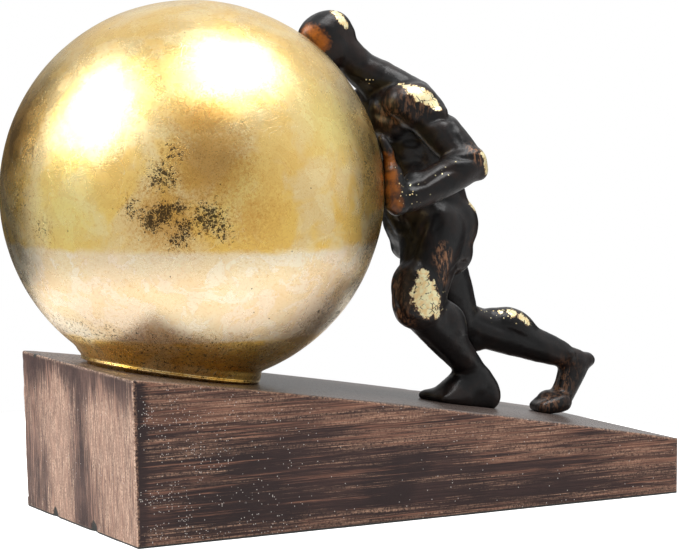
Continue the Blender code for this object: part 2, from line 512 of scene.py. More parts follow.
    def millimetres(self) -> Socket:
        """Return the point's place on the object in millimetres."""
        return self.scaled(self.add("ShaderNodeTexCoord").outputs["Object"], 1 / MM)


def colour(value: Input) -> Input:
    """Return a colour with its alpha, or the socket as it is.

    Args:
        value: Socket, or three numbers.

    Returns:
        Socket, or four numbers.
    """
    if isinstance(value, Socket):
        return value
    return (*value[:3], 1.0)


class Effect:
    """One shared effect, kept as a shader node group of its own."""

    def __init__(self, name: str, takes: Sequence[tuple], gives: Sequence[tuple]) -> None:
        """Make the group and its sockets.

        Args:
            name: Name of the group.
            takes: Name, kind and default of each input.
            gives: Name and kind of each output.
        """
        self.tree = bpy.data.node_groups.new(name, "ShaderNodeTree")
        for label, kind, start in takes:
            socket = self.tree.interface.new_socket(label, in_out="INPUT", socket_type=kind)
            if start is not None:
                socket.default_value = start
        for label, kind in gives:
            self.tree.interface.new_socket(label, in_out="OUTPUT", socket_type=kind)
        self.weave = Weave(self.tree)
        self.start = self.weave.add("NodeGroupInput")
        self.end = self.weave.add("NodeGroupOutput")

    def take(self, label: str) -> Socket:
        """Return what the group is given."""
        return self.start.outputs[label]

    def give(self, label: str, value: Input) -> None:
        """Send a value out of the group."""
        self.weave.feed(self.end.inputs[label], value)

    def use(self, weave: Weave, **values: Input) -> bpy.types.Node:
        """Put the effect into a material.

        Args:
            weave: Builder of the material's nodes.
            values: Inputs by name, with spaces as underscores.

        Returns:
            The group node.
        """
        node = weave.add("ShaderNodeGroup", node_tree=self.tree)
        for label, value in values.items():
            weave.feed(node.inputs[label.replace("_", " ")], value)
        return node


FLOAT = "NodeSocketFloat"
VECTOR = "NodeSocketVector"


def ragged_leaf() -> Effect:
    """Return the effect that tears a soft field into flakes of leaf.

    Returns:
        Effect from Where, Field and Tear to Cover and Edge.
    """
    fx = Effect("ragged leaf", [("Where", VECTOR, None), ("Field", FLOAT, 0.0), ("Tear", FLOAT, 1.0)],
                [("Cover", FLOAT), ("Edge", FLOAT)])
    w = fx.weave
    coarse = w.centred(w.noise(fx.take("Where"), 0.42, 3, 0.6, 0.6))
    fine = w.centred(w.noise(fx.take("Where"), 1.7, 4, 0.65, 0.4))
    torn = w.plus(w.times(coarse, 0.9), w.times(fine, 0.55))
    field = w.plus(fx.take("Field"), w.times(torn, fx.take("Tear")))
    cracks = w.cells(w.vector("ADD", fx.take("Where"), (3.1, 0, 1.7)), 0.33, "DISTANCE_TO_EDGE")
    split = w.times(w.step(cracks.outputs["Distance"], 0.0, 0.07, 1, 0), w.step(coarse, -0.02, 0.08))
    field = w.less(field, w.times(split, 0.8))
    fx.give("Cover", w.step(field, 0.47, 0.52))
    fx.give("Edge", w.times(w.step(field, 0.36, 0.47), w.step(field, 0.52, 0.47)))
    return fx


def hairlines() -> Effect:
    """Return the effect that draws thin wandering lines.

    Returns:
        Effect from Where and Width to Line.
    """
    fx = Effect("hairlines", [("Where", VECTOR, None), ("Width", FLOAT, 0.01)], [("Line", FLOAT)])
    w = fx.weave
    field = w.noise(fx.take("Where"), 1.0, 2, 0.5, 1.4)
    off = w.math("ABSOLUTE", w.centred(field))
    patchy = w.step(w.noise(w.vector("ADD", fx.take("Where"), (9, 4, 2)), 0.7, 1), 0.46, 0.60)
    fx.give("Line", w.times(w.step(off, 0.0, fx.take("Width"), 1, 0), patchy))
    return fx


def dry_brush() -> Effect:
    """Return the effect of paint dragged over a surface with a dry brush.

    The first axis of the place runs along the strokes and is already shortened.

    Returns:
        Effect from Where and Amount to Strokes, Streaks and Relief.
    """
    fx = Effect("dry brush", [("Where", VECTOR, None), ("Amount", FLOAT, 0.5)],
                [("Strokes", FLOAT), ("Streaks", FLOAT), ("Relief", FLOAT)])
    w = fx.weave
    broad = w.noise(fx.take("Where"), 0.16, 3, 0.6, 0.5)
    bristle = w.noise(w.scaled(fx.take("Where"), 0.6, 1, 1), 1.1, 5, 0.72, 0.2)
    hair = w.noise(w.scaled(fx.take("Where"), 0.35, 1, 1), 3.4, 3, 0.6)
    loaded = w.plus(w.times(broad, 0.6), w.times(bristle, 1.05))
    edge = w.less(1.12, w.times(fx.take("Amount"), 0.45))
    fx.give("Strokes", w.step(loaded, w.less(edge, 0.07), w.plus(edge, 0.09)))
    fx.give("Streaks", w.step(hair, 0.40, 0.66))
    fx.give("Relief", w.plus(w.times(bristle, 0.65), w.times(hair, 0.35)))
    return fx


def sprinkled_dots() -> Effect:
    """Return the effect that puts a dot into some cells of a net.

    Returns:
        Effect from Where, Scale, Core, Rim, Rare and Soft to Dots.
    """
    fx = Effect("sprinkled dots", [("Where", VECTOR, None), ("Scale", FLOAT, 1.0), ("Core", FLOAT, 0.1),
                                   ("Rim", FLOAT, 0.2), ("Rare", FLOAT, 0.5), ("Soft", FLOAT, 0.02)],
                [("Dots", FLOAT)])
    w = fx.weave
    cells = w.cells(fx.take("Where"), fx.take("Scale"))
    lot = w.add("ShaderNodeSeparateColor")
    w.feed(lot.inputs[0], cells.outputs["Color"])
    chosen = w.step(lot.outputs[0], fx.take("Rare"), w.plus(fx.take("Rare"), fx.take("Soft")))
    fx.give("Dots", w.times(w.step(cells.outputs["Distance"], fx.take("Core"), fx.take("Rim"), 1, 0), chosen))
    return fx


@dataclass(frozen=True)
class Effects:
    """The effects that the materials share.

    Args:
        leaf: Tears a soft field into leaf.
        lines: Draws thin lines.
        brush: Drags paint over a surface.
        dots: Puts dots here and there.
    """

    leaf: Effect = field(default_factory=ragged_leaf)
    lines: Effect = field(default_factory=hairlines)
    brush: Effect = field(default_factory=dry_brush)
    dots: Effect = field(default_factory=sprinkled_dots)


@dataclass(frozen=True)
class GoldFinish:
    """Colours and gloss of the leafed ball.

    Args:
        leaf: Usual leaf.
        pale: Lighter leaf in patches, and painted highlight whitening over the upper half.
        green: Leaf with a green cast.
        ochre: Darker leaf in seams and flakes, and painted reflection of the dark room.
        umber: Dirt in the leaf, and painted reflection of the dark room and the ramp.
        painted_floor_reflection: Painted reflection of the white floor, pale cream over the lower half.
        painted_floor_pink: Pinkish patches in that painted reflection.
        bole: Ground where leaf is gone, whose flecks low down also paint the ramp's reflection.
        scratch: Brown hairlines.
        thread: Bright hairlines.
        rough: Roughness.
        specular: Level of the gloss beside the metal's.
    """

    leaf: tuple = (0.97, 0.645, 0.17)
    pale: tuple = (0.98, 0.765, 0.38)
    green: tuple = (0.92, 0.79, 0.30)
    ochre: tuple = (0.74, 0.39, 0.09)
    umber: tuple = (0.30, 0.14, 0.03)
    painted_floor_reflection: tuple = (1.0, 0.90, 0.70)
    painted_floor_pink: tuple = (1.0, 0.83, 0.63)
    bole: tuple = (0.012, 0.006, 0.002)
    scratch: tuple = (0.42, 0.19, 0.06)
    thread: tuple = (1.0, 0.90, 0.60)
    rough: float = 0.24
    specular: float = 0.2


@dataclass(frozen=True)
class BronzeFinish:
    """Colours and gloss of the cast figure.

    Args:
        black: Patina.
        umber: Browner patina.
        rub: Bronze rubbed bare.
        painted_ball_reflection: Painted reflection of the gold ball on the head and the palms.
        leaf: Gold leaf, also the pale flecks that paint glints along the forearm.
        deep_leaf: Darker flakes of it.
        rough: Roughness.
        specular: Level of the gloss.
        coat: Weight of the lacquer.
        coat_rough: Roughness of the lacquer.
    """

    black: tuple = (0.0040, 0.0036, 0.0040)
    umber: tuple = (0.016, 0.008, 0.006)
    rub: tuple = (0.36, 0.17, 0.085)
    painted_ball_reflection: tuple = (0.32, 0.095, 0.008)
    leaf: tuple = (0.98, 0.90, 0.56)
    deep_leaf: tuple = (0.93, 0.70, 0.34)
    rough: float = 0.34
    specular: float = 0.25
    coat: float = 0.13
    coat_rough: float = 0.22


@dataclass(frozen=True)
class PaintFinish:
    """Colours and gloss of one kind of the ramp's faces.

    Args:
        ground: Paint in the hollows.
        veil: Thin lighter coat over it.
        salmon: Dry strokes.
        tan: Brightest strokes.
        chip: Bare, dark wood.
        speck: Pale spatter.
        cover: Share that the strokes cover.
        veil_share: Strength of the thin coat.
        rough: Roughness.
        specular: Level of the gloss.
        relief: Height of the strokes in metres.
    """

    ground: tuple = (0.028, 0.0155, 0.0155)
    veil: tuple = (0.082, 0.041, 0.036)
    salmon: tuple = (0.32, 0.148, 0.096)
    tan: tuple = (0.54, 0.32, 0.215)
    chip: tuple = (0.045, 0.046, 0.043)
    speck: tuple = (0.85, 0.78, 0.72)
    cover: float = 0.58
    veil_share: float = 0.6
    rough: float = 0.52
    specular: float = 0.3
    relief: float = 0.00035


def new_material(name: str) -> tuple:
    """Make a material with only its Principled shader and output.

    Args:
        name: Name of the material.

    Returns:
        Material, node builder and shader.
    """
    mat = bpy.data.materials.new(name)
    mat.use_nodes = True
    weave = Weave(mat.node_tree)
    return mat, weave, mat.node_tree.nodes["Principled BSDF"]


def gold_material(finish: GoldFinish, effects: "Effects") -> Material:
    """Return the ball's gold leaf.

    Args:
        finish: Colours and gloss.
        effects: The shared effects.

    Returns:
        The material.
    """
    mat, w, shader = new_material("gold leaf")
    where = w.millimetres()
    worn = w.painted("worn")
    flakes = w.noise(where, 0.9, 5, 0.7, 0.8)
    tear = w.noise(where, 0.075, 7, 0.62, 0.9)
    sheet = w.step(tear, 0.500, 0.512)
    rim = w.step(w.math("ABSOLUTE", w.less(tear, 0.506)), 0.0, 0.007, 1, 0)
    # Painted reflection of the dark room: the ochre spots darken the middle and both rims.
    painted_room_reflection = w.plus(w.painted("ochre"), w.times(w.centred(flakes), 1.6))
    # Painted reflection of the white floor: pale cream with pinkish patches over the lower half.
    low = w.step(w.plus(w.painted("low"), w.times(w.centred(tear), 0.5)), 0.35, 0.62)
    painted_floor_pink = w.step(w.noise(w.vector("ADD", where, (5, 9, 4)), 0.035, 3), 0.42, 0.60)
    # Umber on the worn field: dirt in the worn patch, and painted reflection of the room and the ramp.
    grime_and_painted_reflection = w.times(w.step(worn, 0.04, 0.5), w.step(flakes, 0.50, 0.66))
    # Umber flecks in the painted reflection of the dark room.
    painted_reflection_flecks = w.times(w.step(painted_room_reflection, 0.3, 1.0), w.step(w.noise(where, 1.9, 4, 0.7), 0.55, 0.62))
    thread = effects.lines.use(w, Where=w.scaled(where, 0.05), Width=0.004).outputs["Line"]
    scratch = effects.lines.use(w, Where=w.scaled(where, 0.22, 0.20, 0.10), Width=0.010).outputs["Line"]
    scratch = w.times(scratch, w.step(w.painted("lined"), 0.05, 0.6))
    pits = effects.dots.use(w, Where=where, Scale=0.26, Core=0.05, Rim=0.11, Rare=0.86).outputs["Dots"]
    torn = effects.leaf.use(w, Where=w.scaled(where, 1.5), Field=worn, Tear=1.4).outputs["Cover"]
    fine = w.step(w.plus(worn, w.times(w.centred(w.noise(where, 1.5, 4, 0.7)), 1.9)), 0.60, 0.70)
    # Bare bole where leaf is torn; in the bottom band these dark flecks are painted reflection of the ramp.
    bare = w.math("MAXIMUM", torn, w.times(fine, w.step(worn, 0.18, 0.30)))
    base = w.layers(
        finish.leaf,
        (w.step(w.noise(where, 0.04, 4, 0.6, 0.5), 0.44, 0.60), finish.pale),
        # Painted highlight whitening: paler leaf over the upper half.
        (w.times(w.painted("high"), 0.40), finish.pale),
        (w.times(w.painted("green"), 0.85), finish.green),
        # Painted reflection of the dark room.
        (w.times(w.step(painted_room_reflection, 0.15, 0.85), 0.8), finish.ochre),
        (w.times(sheet, 0.16), finish.ochre),
        # Painted reflection of the white floor.
        (w.times(low, w.share(sheet, 0.88, 0.62)), w.tint(painted_floor_pink, finish.painted_floor_reflection, finish.painted_floor_pink)),
        (w.times(rim, 0.30), finish.ochre),
        (w.times(w.step(flakes, 0.50, 0.70), 0.45), finish.ochre),
        # Dirt, and painted reflection of the dark room and the ramp.
        (w.times(grime_and_painted_reflection, 0.72), finish.umber),
        # Flecks in the painted reflection of the dark room.
        (w.times(painted_reflection_flecks, 0.65), finish.umber),
        (w.times(scratch, 0.65), finish.scratch),
        (w.times(thread, 0.5), finish.thread),
        (w.times(pits, 0.8), finish.bole),
        # Bare bole; low down it also paints the ramp's reflection.
        (w.times(bare, 0.92), finish.bole),
    )
    rough = w.share(w.step(w.noise(where, 0.12, 3), 0.35, 0.65), finish.rough, finish.rough + 0.06)
    rough = w.plus(rough, w.times(grime_and_painted_reflection, 0.12))
    ripple = w.bump(w.noise(where, 0.12, 2, 0.5), 0.12, 0.0003)
    flake = w.bump(w.noise(where, 1.5, 4, 0.75, 0.5), 0.5, 0.00016, ripple)
    relief = w.less(w.less(w.times(thread, 0.4), w.plus(pits, scratch)), bare)
    w.dress(shader, {
        "Base Color": base,
        "Metallic": w.less(1.0, w.times(bare, 0.6)),
        "Roughness": w.math("ADD", rough, w.times(bare, 0.2), clamp=True),
        "Specular IOR Level": finish.specular,
        "Normal": w.bump(relief, 0.35, 0.00014, flake),
    })
    return mat


def bronze_material(finish: BronzeFinish, effects: "Effects") -> Material:
    """Return the figure's patina with its leaf and rubbed places.

    Args:
        finish: Colours and gloss.
        effects: The shared effects.

    Returns:
        The material.
    """
    mat, w, shader = new_material("dark bronze")
    where = w.millimetres()
    cloud = w.noise(where, 0.08, 4, 0.6, 0.5)
    grain = w.noise(where, 0.8, 5, 0.65, 0.3)
    ridge = w.painted("ridge")
    polished = w.times(w.step(ridge, 0.45, 1.0), w.step(grain, 0.42, 0.66))
    streak = w.noise(w.scaled(where, 1.2, 1.2, 0.36), 0.62, 4, 0.7, 0.35)
    rub = w.times(w.step(w.painted("rub"), 0.15, 0.85), w.step(streak, 0.47, 0.60))
    # Painted reflection of the gold ball where the head and the palms lie against it.
    painted_ball_reflection = w.step(w.plus(w.painted("painted_ball_reflection"), w.times(w.centred(grain), 0.9)), 0.22, 0.85)
    leaf = effects.leaf.use(w, Where=where, Field=w.painted("leaf"), Tear=1.15)
    # Pale gilt flecks: gold specks on the calf, painted glints along the forearm.
    fleck = effects.dots.use(w, Where=where, Scale=0.62, Core=0.16, Rim=0.24, Rare=0.40, Soft=0.04)
    fleck = w.times(fleck.outputs["Dots"], w.step(w.painted("fleck"), 0.2, 0.5))
    cover = w.math("MAXIMUM", leaf.outputs["Cover"], fleck)
    rim = w.times(leaf.outputs["Edge"], w.step(w.painted("leaf"), 0.15, 0.4))
    base = w.layers(
        finish.black,
        (w.step(w.plus(cloud, w.times(ridge, 0.10)), 0.46, 0.72), finish.umber),
        (w.times(polished, 0.14), finish.rub),
        (rub, finish.rub),
        # Painted reflection of the gold ball.
        (w.times(painted_ball_reflection, w.step(cloud, 0.24, 0.48)), finish.painted_ball_reflection),
        (w.times(rim, 0.6), finish.rub),
        (cover, w.tint(w.step(w.noise(where, 0.5, 3), 0.42, 0.64), finish.leaf, finish.deep_leaf)),
    )
    rough = w.share(w.step(grain, 0.35, 0.7), finish.rough - 0.05, finish.rough + 0.09)
    rough = w.plus(rough, w.times(w.painted("hollow"), 0.22))
    cast = w.bump(w.noise(where, 0.22, 3, 0.55), 0.35, 0.0006)
    pitted = w.bump(grain, 0.40, 0.00022, cast)
    score = effects.lines.use(w, Where=w.scaled(where, 0.30), Width=0.02).outputs["Line"]
    w.dress(shader, {
        "Base Color": base,
        "Metallic": w.times(cover, 0.35),
        "Roughness": w.share(cover, rough, 0.34),
        "Specular IOR Level": finish.specular,
        "Coat Weight": finish.coat,
        "Coat Roughness": finish.coat_rough,
        "Normal": w.bump(cover, 0.6, 0.00012, w.bump(score, 0.25, -0.0002, pitted)),
    })
    return mat


class Face(Enum):
    """The ramp's painted faces, by the order of their materials."""

    SIDE = 0
    END = 1
    TOP = 2


PAINT = {
    Face.SIDE: PaintFinish(),
    Face.END: PaintFinish(ground=(0.050, 0.030, 0.028), veil=(0.21, 0.125, 0.102),
                          salmon=(0.50, 0.295, 0.215), tan=(0.84, 0.60, 0.45), cover=0.95, veil_share=1.0),
    Face.TOP: PaintFinish(ground=(0.10, 0.075, 0.066), veil=(0.145, 0.115, 0.102), salmon=(0.27, 0.19, 0.15),
                          tan=(0.42, 0.30, 0.23), cover=0.26, veil_share=0.9, rough=0.30, relief=0.00008),
}


def paint_material(finish: PaintFinish, effects: "Effects", face: Face) -> Material:
    """Return the paint of one kind of the ramp's faces.

    Args:
        finish: Colours, cover and gloss.
        effects: The shared effects.
        face: Kind of face, which turns the strokes.

    Returns:
        The material.
    """
    mat, w, shader = new_material("painted wood " + face.name.lower())
    where = w.millimetres()
    along = w.swapped(w.scaled(where, 1, 1, 0.04)) if face is Face.END else w.scaled(where, 0.035, 1, 1)
    load = w.times(w.painted("load"), finish.cover)
    first = effects.brush.use(w, Where=along, Amount=load).outputs
    second = effects.brush.use(w, Where=w.vector("ADD", along, (2.7, 31, 17)), Amount=load).outputs
    grit = w.noise(where, 1.1, 4, 0.7)
    thin = w.step(w.plus(w.noise(where, 0.03, 3, 0.6), w.times(load, 0.3)), 0.46, 0.72)
    veil = w.times(w.times(thin, finish.veil_share), w.share(first["Streaks"], 0.20, 1.0))
    rubbed = w.times(w.step(w.painted("edge"), 0.35, 0.95), w.step(grit, 0.44, 0.60))
    rare = w.less(1.0, w.times(w.painted("spatter"), 0.55))
    speck = effects.dots.use(w, Where=where, Scale=1.4, Core=0.22, Rim=0.36, Rare=rare, Soft=0.0001)
    speck = speck.outputs["Dots"]
    chip = w.plus(w.painted("chip"), w.times(w.centred(grit), 0.5))
    base = w.layers(
        finish.ground,
        (veil, finish.veil),
        (w.times(first["Strokes"], w.share(first["Streaks"], 0.2, 0.95)), finish.salmon),
        (w.times(w.times(second["Strokes"], second["Streaks"]), w.step(grit, 0.35, 0.6)), finish.tan),
        (w.times(rubbed, 0.7), finish.tan),
        (w.times(speck, 0.85), finish.speck),
        (w.step(chip, 0.46, 0.54), finish.chip),
    )
    relief = w.plus(w.plus(first["Relief"], w.times(first["Strokes"], 0.3)), w.times(speck, 0.5))
    w.dress(shader, {
        "Base Color": base,
        "Roughness": w.share(w.step(grit, 0.35, 0.65), finish.rough - 0.06, finish.rough + 0.08),
        "Specular IOR Level": finish.specular,
        "Normal": w.bump(relief, 0.55, finish.relief, w.bump(grit, 0.25, 0.00012)),
    })
    return mat


def drifting(points: np.ndarray, scale: float, seed: float) -> np.ndarray:
    """Return smooth noise for many points.

    Args:
        points: Places, one to a row.
        scale: Bumps to each unit of length.
        seed: Offset that picks the noise.

    Returns:
        Values from about -1 to 1.
    """
    total = np.zeros(len(points))
    turns = np.random.default_rng(int(seed * 10)).normal(size=(9, 3))
    phase = np.random.default_rng(int(seed * 10) + 1).uniform(0, 6.28, size=9)
    for axis, start in zip(turns, phase):
        bend = 0.8 * np.sin(points @ axis[::-1] * scale + start)
        total += np.sin(points @ axis * scale * 2.2 + start + bend)
    return total / 4.2


def make_piece(name: str, points: np.ndarray, faces: Iterable, place: Matrix) -> Piece:
    """Make a smooth-shaded object from points in millimetres.

    Args:
        name: Name of the object.
        points: Corners, one to a row.
        faces: Corner numbers of each face.
        place: Matrix from the points' frame to the row frame, in millimetres.

    Returns:
        The object, which sits at the origin with its place in its mesh.
    """
    turn = np.array(place)
    mesh = bpy.data.meshes.new(name)
    mesh.from_pydata(((points @ turn[:3, :3].T + turn[:3, 3]) * MM).tolist(), [], faces)
    mesh.shade_smooth()
    return put(name, mesh)


def paint_points(obj: Piece, name: str, values: np.ndarray) -> None:
    """Store one value at each corner of a mesh.

    Args:
        obj: Object to store the values on.
        name: Name of the attribute.
        values: One value a corner.
    """
    layer = obj.data.attributes.new(name, "FLOAT", "POINT")
    layer.data.foreach_set("value", values.astype(np.float32))


def settle(obj: Piece, role: Role) -> None:
    """Let a piece stand for its CAD node.

    Args:
        obj: The piece.
        role: Piece of the statue that it is.
    """
    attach(obj, "root")
    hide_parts(role.value)


@dataclass(frozen=True)
class Ball:
    """The leafed ball: a turned form with a low flared foot, slightly uneven.

    Args:
        sides: Columns round the ball.
        rows: Rows from the top to the foot.
        foot_height: Height of the foot over the ramp.
        flare: Width by which the foot stands out.
        fillet: Radius of the hollow between ball and foot.
        lip: Height of the slit under the foot's rim.
        shift: Distance of the foot's middle downhill of the seat.
        skin: Depth of the leaf inside the CAD model's ball.
        contacts: Degrees round and up of the places that the figure touches.
        spared: Distances from a contact where the sagging starts and is full.
        dents: Least dent, its growth away from the contacts, and the most.
        swells: Height, scale and seed of each unevenness.
    """

    sides: int = 224
    rows: int = 150
    foot_height: float = 2.7
    flare: float = 3.4
    fillet: float = 7.0
    lip: float = 0.9
    shift: float = 1.6
    skin: float = 0.02
    contacts: tuple = ((0, 54), (-29, 12), (29, 12))
    spared: tuple = (16, 32)
    dents: tuple = (0.10, 0.42, 0.75)
    swells: tuple = ((0.07, 0.045, 3.0), (0.03, 0.14, 5.0))

    def outline(self) -> list:
        """Return the profile from the top to under the foot, which the ball meets in a hollow.

        Returns:
            Pairs of radius and height.
        """
        r = SLOPE.radius - self.skin
        edge = math.sqrt(r * r - (r - SLOPE.sink - self.foot_height) ** 2) + self.flare
        hollow = edge + self.fillet
        drop = math.sqrt((r + self.fillet) ** 2 - hollow ** 2)
        last = math.pi - math.atan2(hollow, drop)
        angles = [last * i / self.rows for i in range(1, self.rows + 1)]
        line = [(r * math.sin(a), r * math.cos(a)) for a in angles]
        start = math.atan2(drop, hollow)
        for i in range(1, 9):
            a = start * (1 - i / 10)
            line.append((hollow - self.fillet * math.cos(a), -drop + self.fillet * math.sin(a)))
        floor = -r + SLOPE.sink
        rim = floor + self.lip
        line += [(edge + 0.25, rim + 0.9), (edge, rim + 0.1), (edge - 0.9, rim - 0.25)]
        return line + [(edge - 2.6, floor + self.lip * 0.4), (edge - 3.0, floor - 1.2)]

    def build(self, mat: Material) -> Piece:
        """Make the ball.

        Args:
            mat: Its material.

        Returns:
            The object.
        """
        line = self.outline()
        n = self.sides
        turn = np.linspace(0, 2 * math.pi, n, endpoint=False)
        rings = [np.stack([r * np.cos(turn), r * np.sin(turn), np.full(n, z)], 1) for r, z in line]
        points = np.concatenate([[(0, 0, SLOPE.radius - self.skin)], *rings, [(0, 0, line[-1][1])]])
        faces = [(0, 1 + i, 1 + (i + 1) % n) for i in range(n)]
        for a in range(1, 1 + (len(line) - 1) * n, n):
            faces += [(a + i, a + n + i, a + n + (i + 1) % n, a + (i + 1) % n) for i in range(n)]
        a = 1 + (len(line) - 1) * n
        faces += [(a + i, len(points) - 1, a + (i + 1) % n) for i in range(n)]
        points = self.dent(points)
        place = SLOPE.matrix @ Matrix.Translation((0, 0, SLOPE.ball_height))
        obj = make_piece("gilt_ball", points, faces, place)
        for name, spots in BALL_MARKS.items():
            value = np.zeros(len(points))
            for (x, y, h), reach, weight in spots:
                gap = distance(points, (x, y, h - SLOPE.ball_height))
                value = np.maximum(value, weight * np.clip(1.25 - gap / reach, 0, 1))
            if name == "worn":
                # Painted reflection of the ramp: a dark band round the bottom of the ball.
                value = np.maximum(value, 0.36 * ramped(-points[:, 2], 50, 58))
            paint_points(obj, name, value)
        level = points @ np.array(SLOPE.matrix)[2, :3]
        # Painted reflection of the white floor over the lower half.
        paint_points(obj, "low", ramped(-level, 13, 25) * ramped(level, -60, -52))
        # Painted highlight whitening over the upper half.
        paint_points(obj, "high", ramped(level, -4, 30))
        obj.data.materials.append(mat)
        settle(obj, Role.BALL)
        return obj

    def dent(self, points: np.ndarray) -> np.ndarray:
        """Return the ball slightly dented, less where the figure touches it, with its foot moved.

        Args:
            points: Corners of the round ball.

        Returns:
            The moved corners.
        """
        foot = -SLOPE.radius + SLOPE.sink + self.foot_height
        touched = [spot(turn, rise, 0) - Vector((0, 0, SLOPE.ball_height)) for turn, rise in self.contacts]
        free = ramped(np.min([distance(points, place) for place in touched], 0), *self.spared)
        least, growth, most = self.dents
        depth = least + growth * free
        for height, scale, seed in self.swells:
            depth += height * drifting(points, scale, seed)
        depth = np.clip(depth, 0, most) * (points[:, 2] > foot + 2)
        moved = points * (1 - depth / SLOPE.radius)[:, None]
        moved[:, 0] += self.shift * ramped(-moved[:, 2], -foot - 3, -foot)
        return moved


BALL_MARKS = {
    # Wear, with painted reflection of the darker room on the spots along the left and right rims.
    "worn": (
        ((-48, -64, 62), 8.0, 0.68), ((-44, -66.5, 66), 8.0, 0.68), ((-39, -69, 69), 6.0, 0.60),
        ((-36, -70, 61), 8.0, 0.56), ((-46.5, -65, 80), 11.0, 0.54), ((-28, -74, 67), 12.0, 0.57),
        ((-43, -66, 90), 9.0, 0.50), ((-38, -69, 56), 8.0, 0.56), ((-22, -76, 62), 8.0, 0.50),
        ((-54, -58, 66), 8.0, 0.50),
        ((-79, -2, 66), 22.0, 0.40), ((-77, -3, 100), 16.0, 0.38), ((-76, -20, 52), 14.0, 0.36),
        ((53, -57, 62), 14.0, 0.42), ((49, -61, 92), 14.0, 0.50), ((46, -62, 110), 12.0, 0.42),
        ((41, -60, 34), 16.0, 0.42), ((60, -44, 46), 14.0, 0.52), ((52, -46, 32), 12.0, 0.52),
        ((-78, -8, 84), 12.0, 0.52), ((-77, 14, 66), 18.0, 0.46), ((-70, 26, 100), 18.0, 0.42),
        ((57, -50, 78), 9.0, 0.56),
        ((60, 50, 90), 12.0, 0.40), ((10, 74, 60), 12.0, 0.50), ((-30, 60, 115), 10.0, 0.42),
    ),
    "green": (
        ((-70, -33, 60), 22.0, 0.9), ((20, -66, 112), 20.0, 0.9), ((-18, -78, 74), 12.0, 0.6),
        ((35, 60, 100), 24.0, 0.8), ((-60, 40, 60), 22.0, 0.8),
    ),
    # Painted reflection of the dark room, in the middle and along both rims.
    "ochre": (
        ((-31, -73, 88), 22.0, 0.9), ((-34, -68, 104), 16.0, 0.8), ((-42, -66, 64), 20.0, 0.8),
        ((-12, -78, 70), 18.0, 0.6),
        ((56, -50, 92), 16.0, 0.8), ((56, -52, 62), 16.0, 0.8), ((-78, 8, 90), 26.0, 0.8),
        ((-20, 70, 90), 26.0, 0.7),
    ),
    "lined": (
        ((40, -58, 118), 26.0, 1.0), ((55, -52, 85), 22.0, 0.9), ((-74, -10, 95), 20.0, 0.5),
        ((35, -60, 45), 20.0, 0.7), ((20, 70, 100), 30.0, 0.8), ((-50, 60, 70), 24.0, 0.7),
    ),
}


EDGE_STEPS = (0, 0.3, 0.6, 0.9, 1.3, 1.8, 2.5, 3.3)


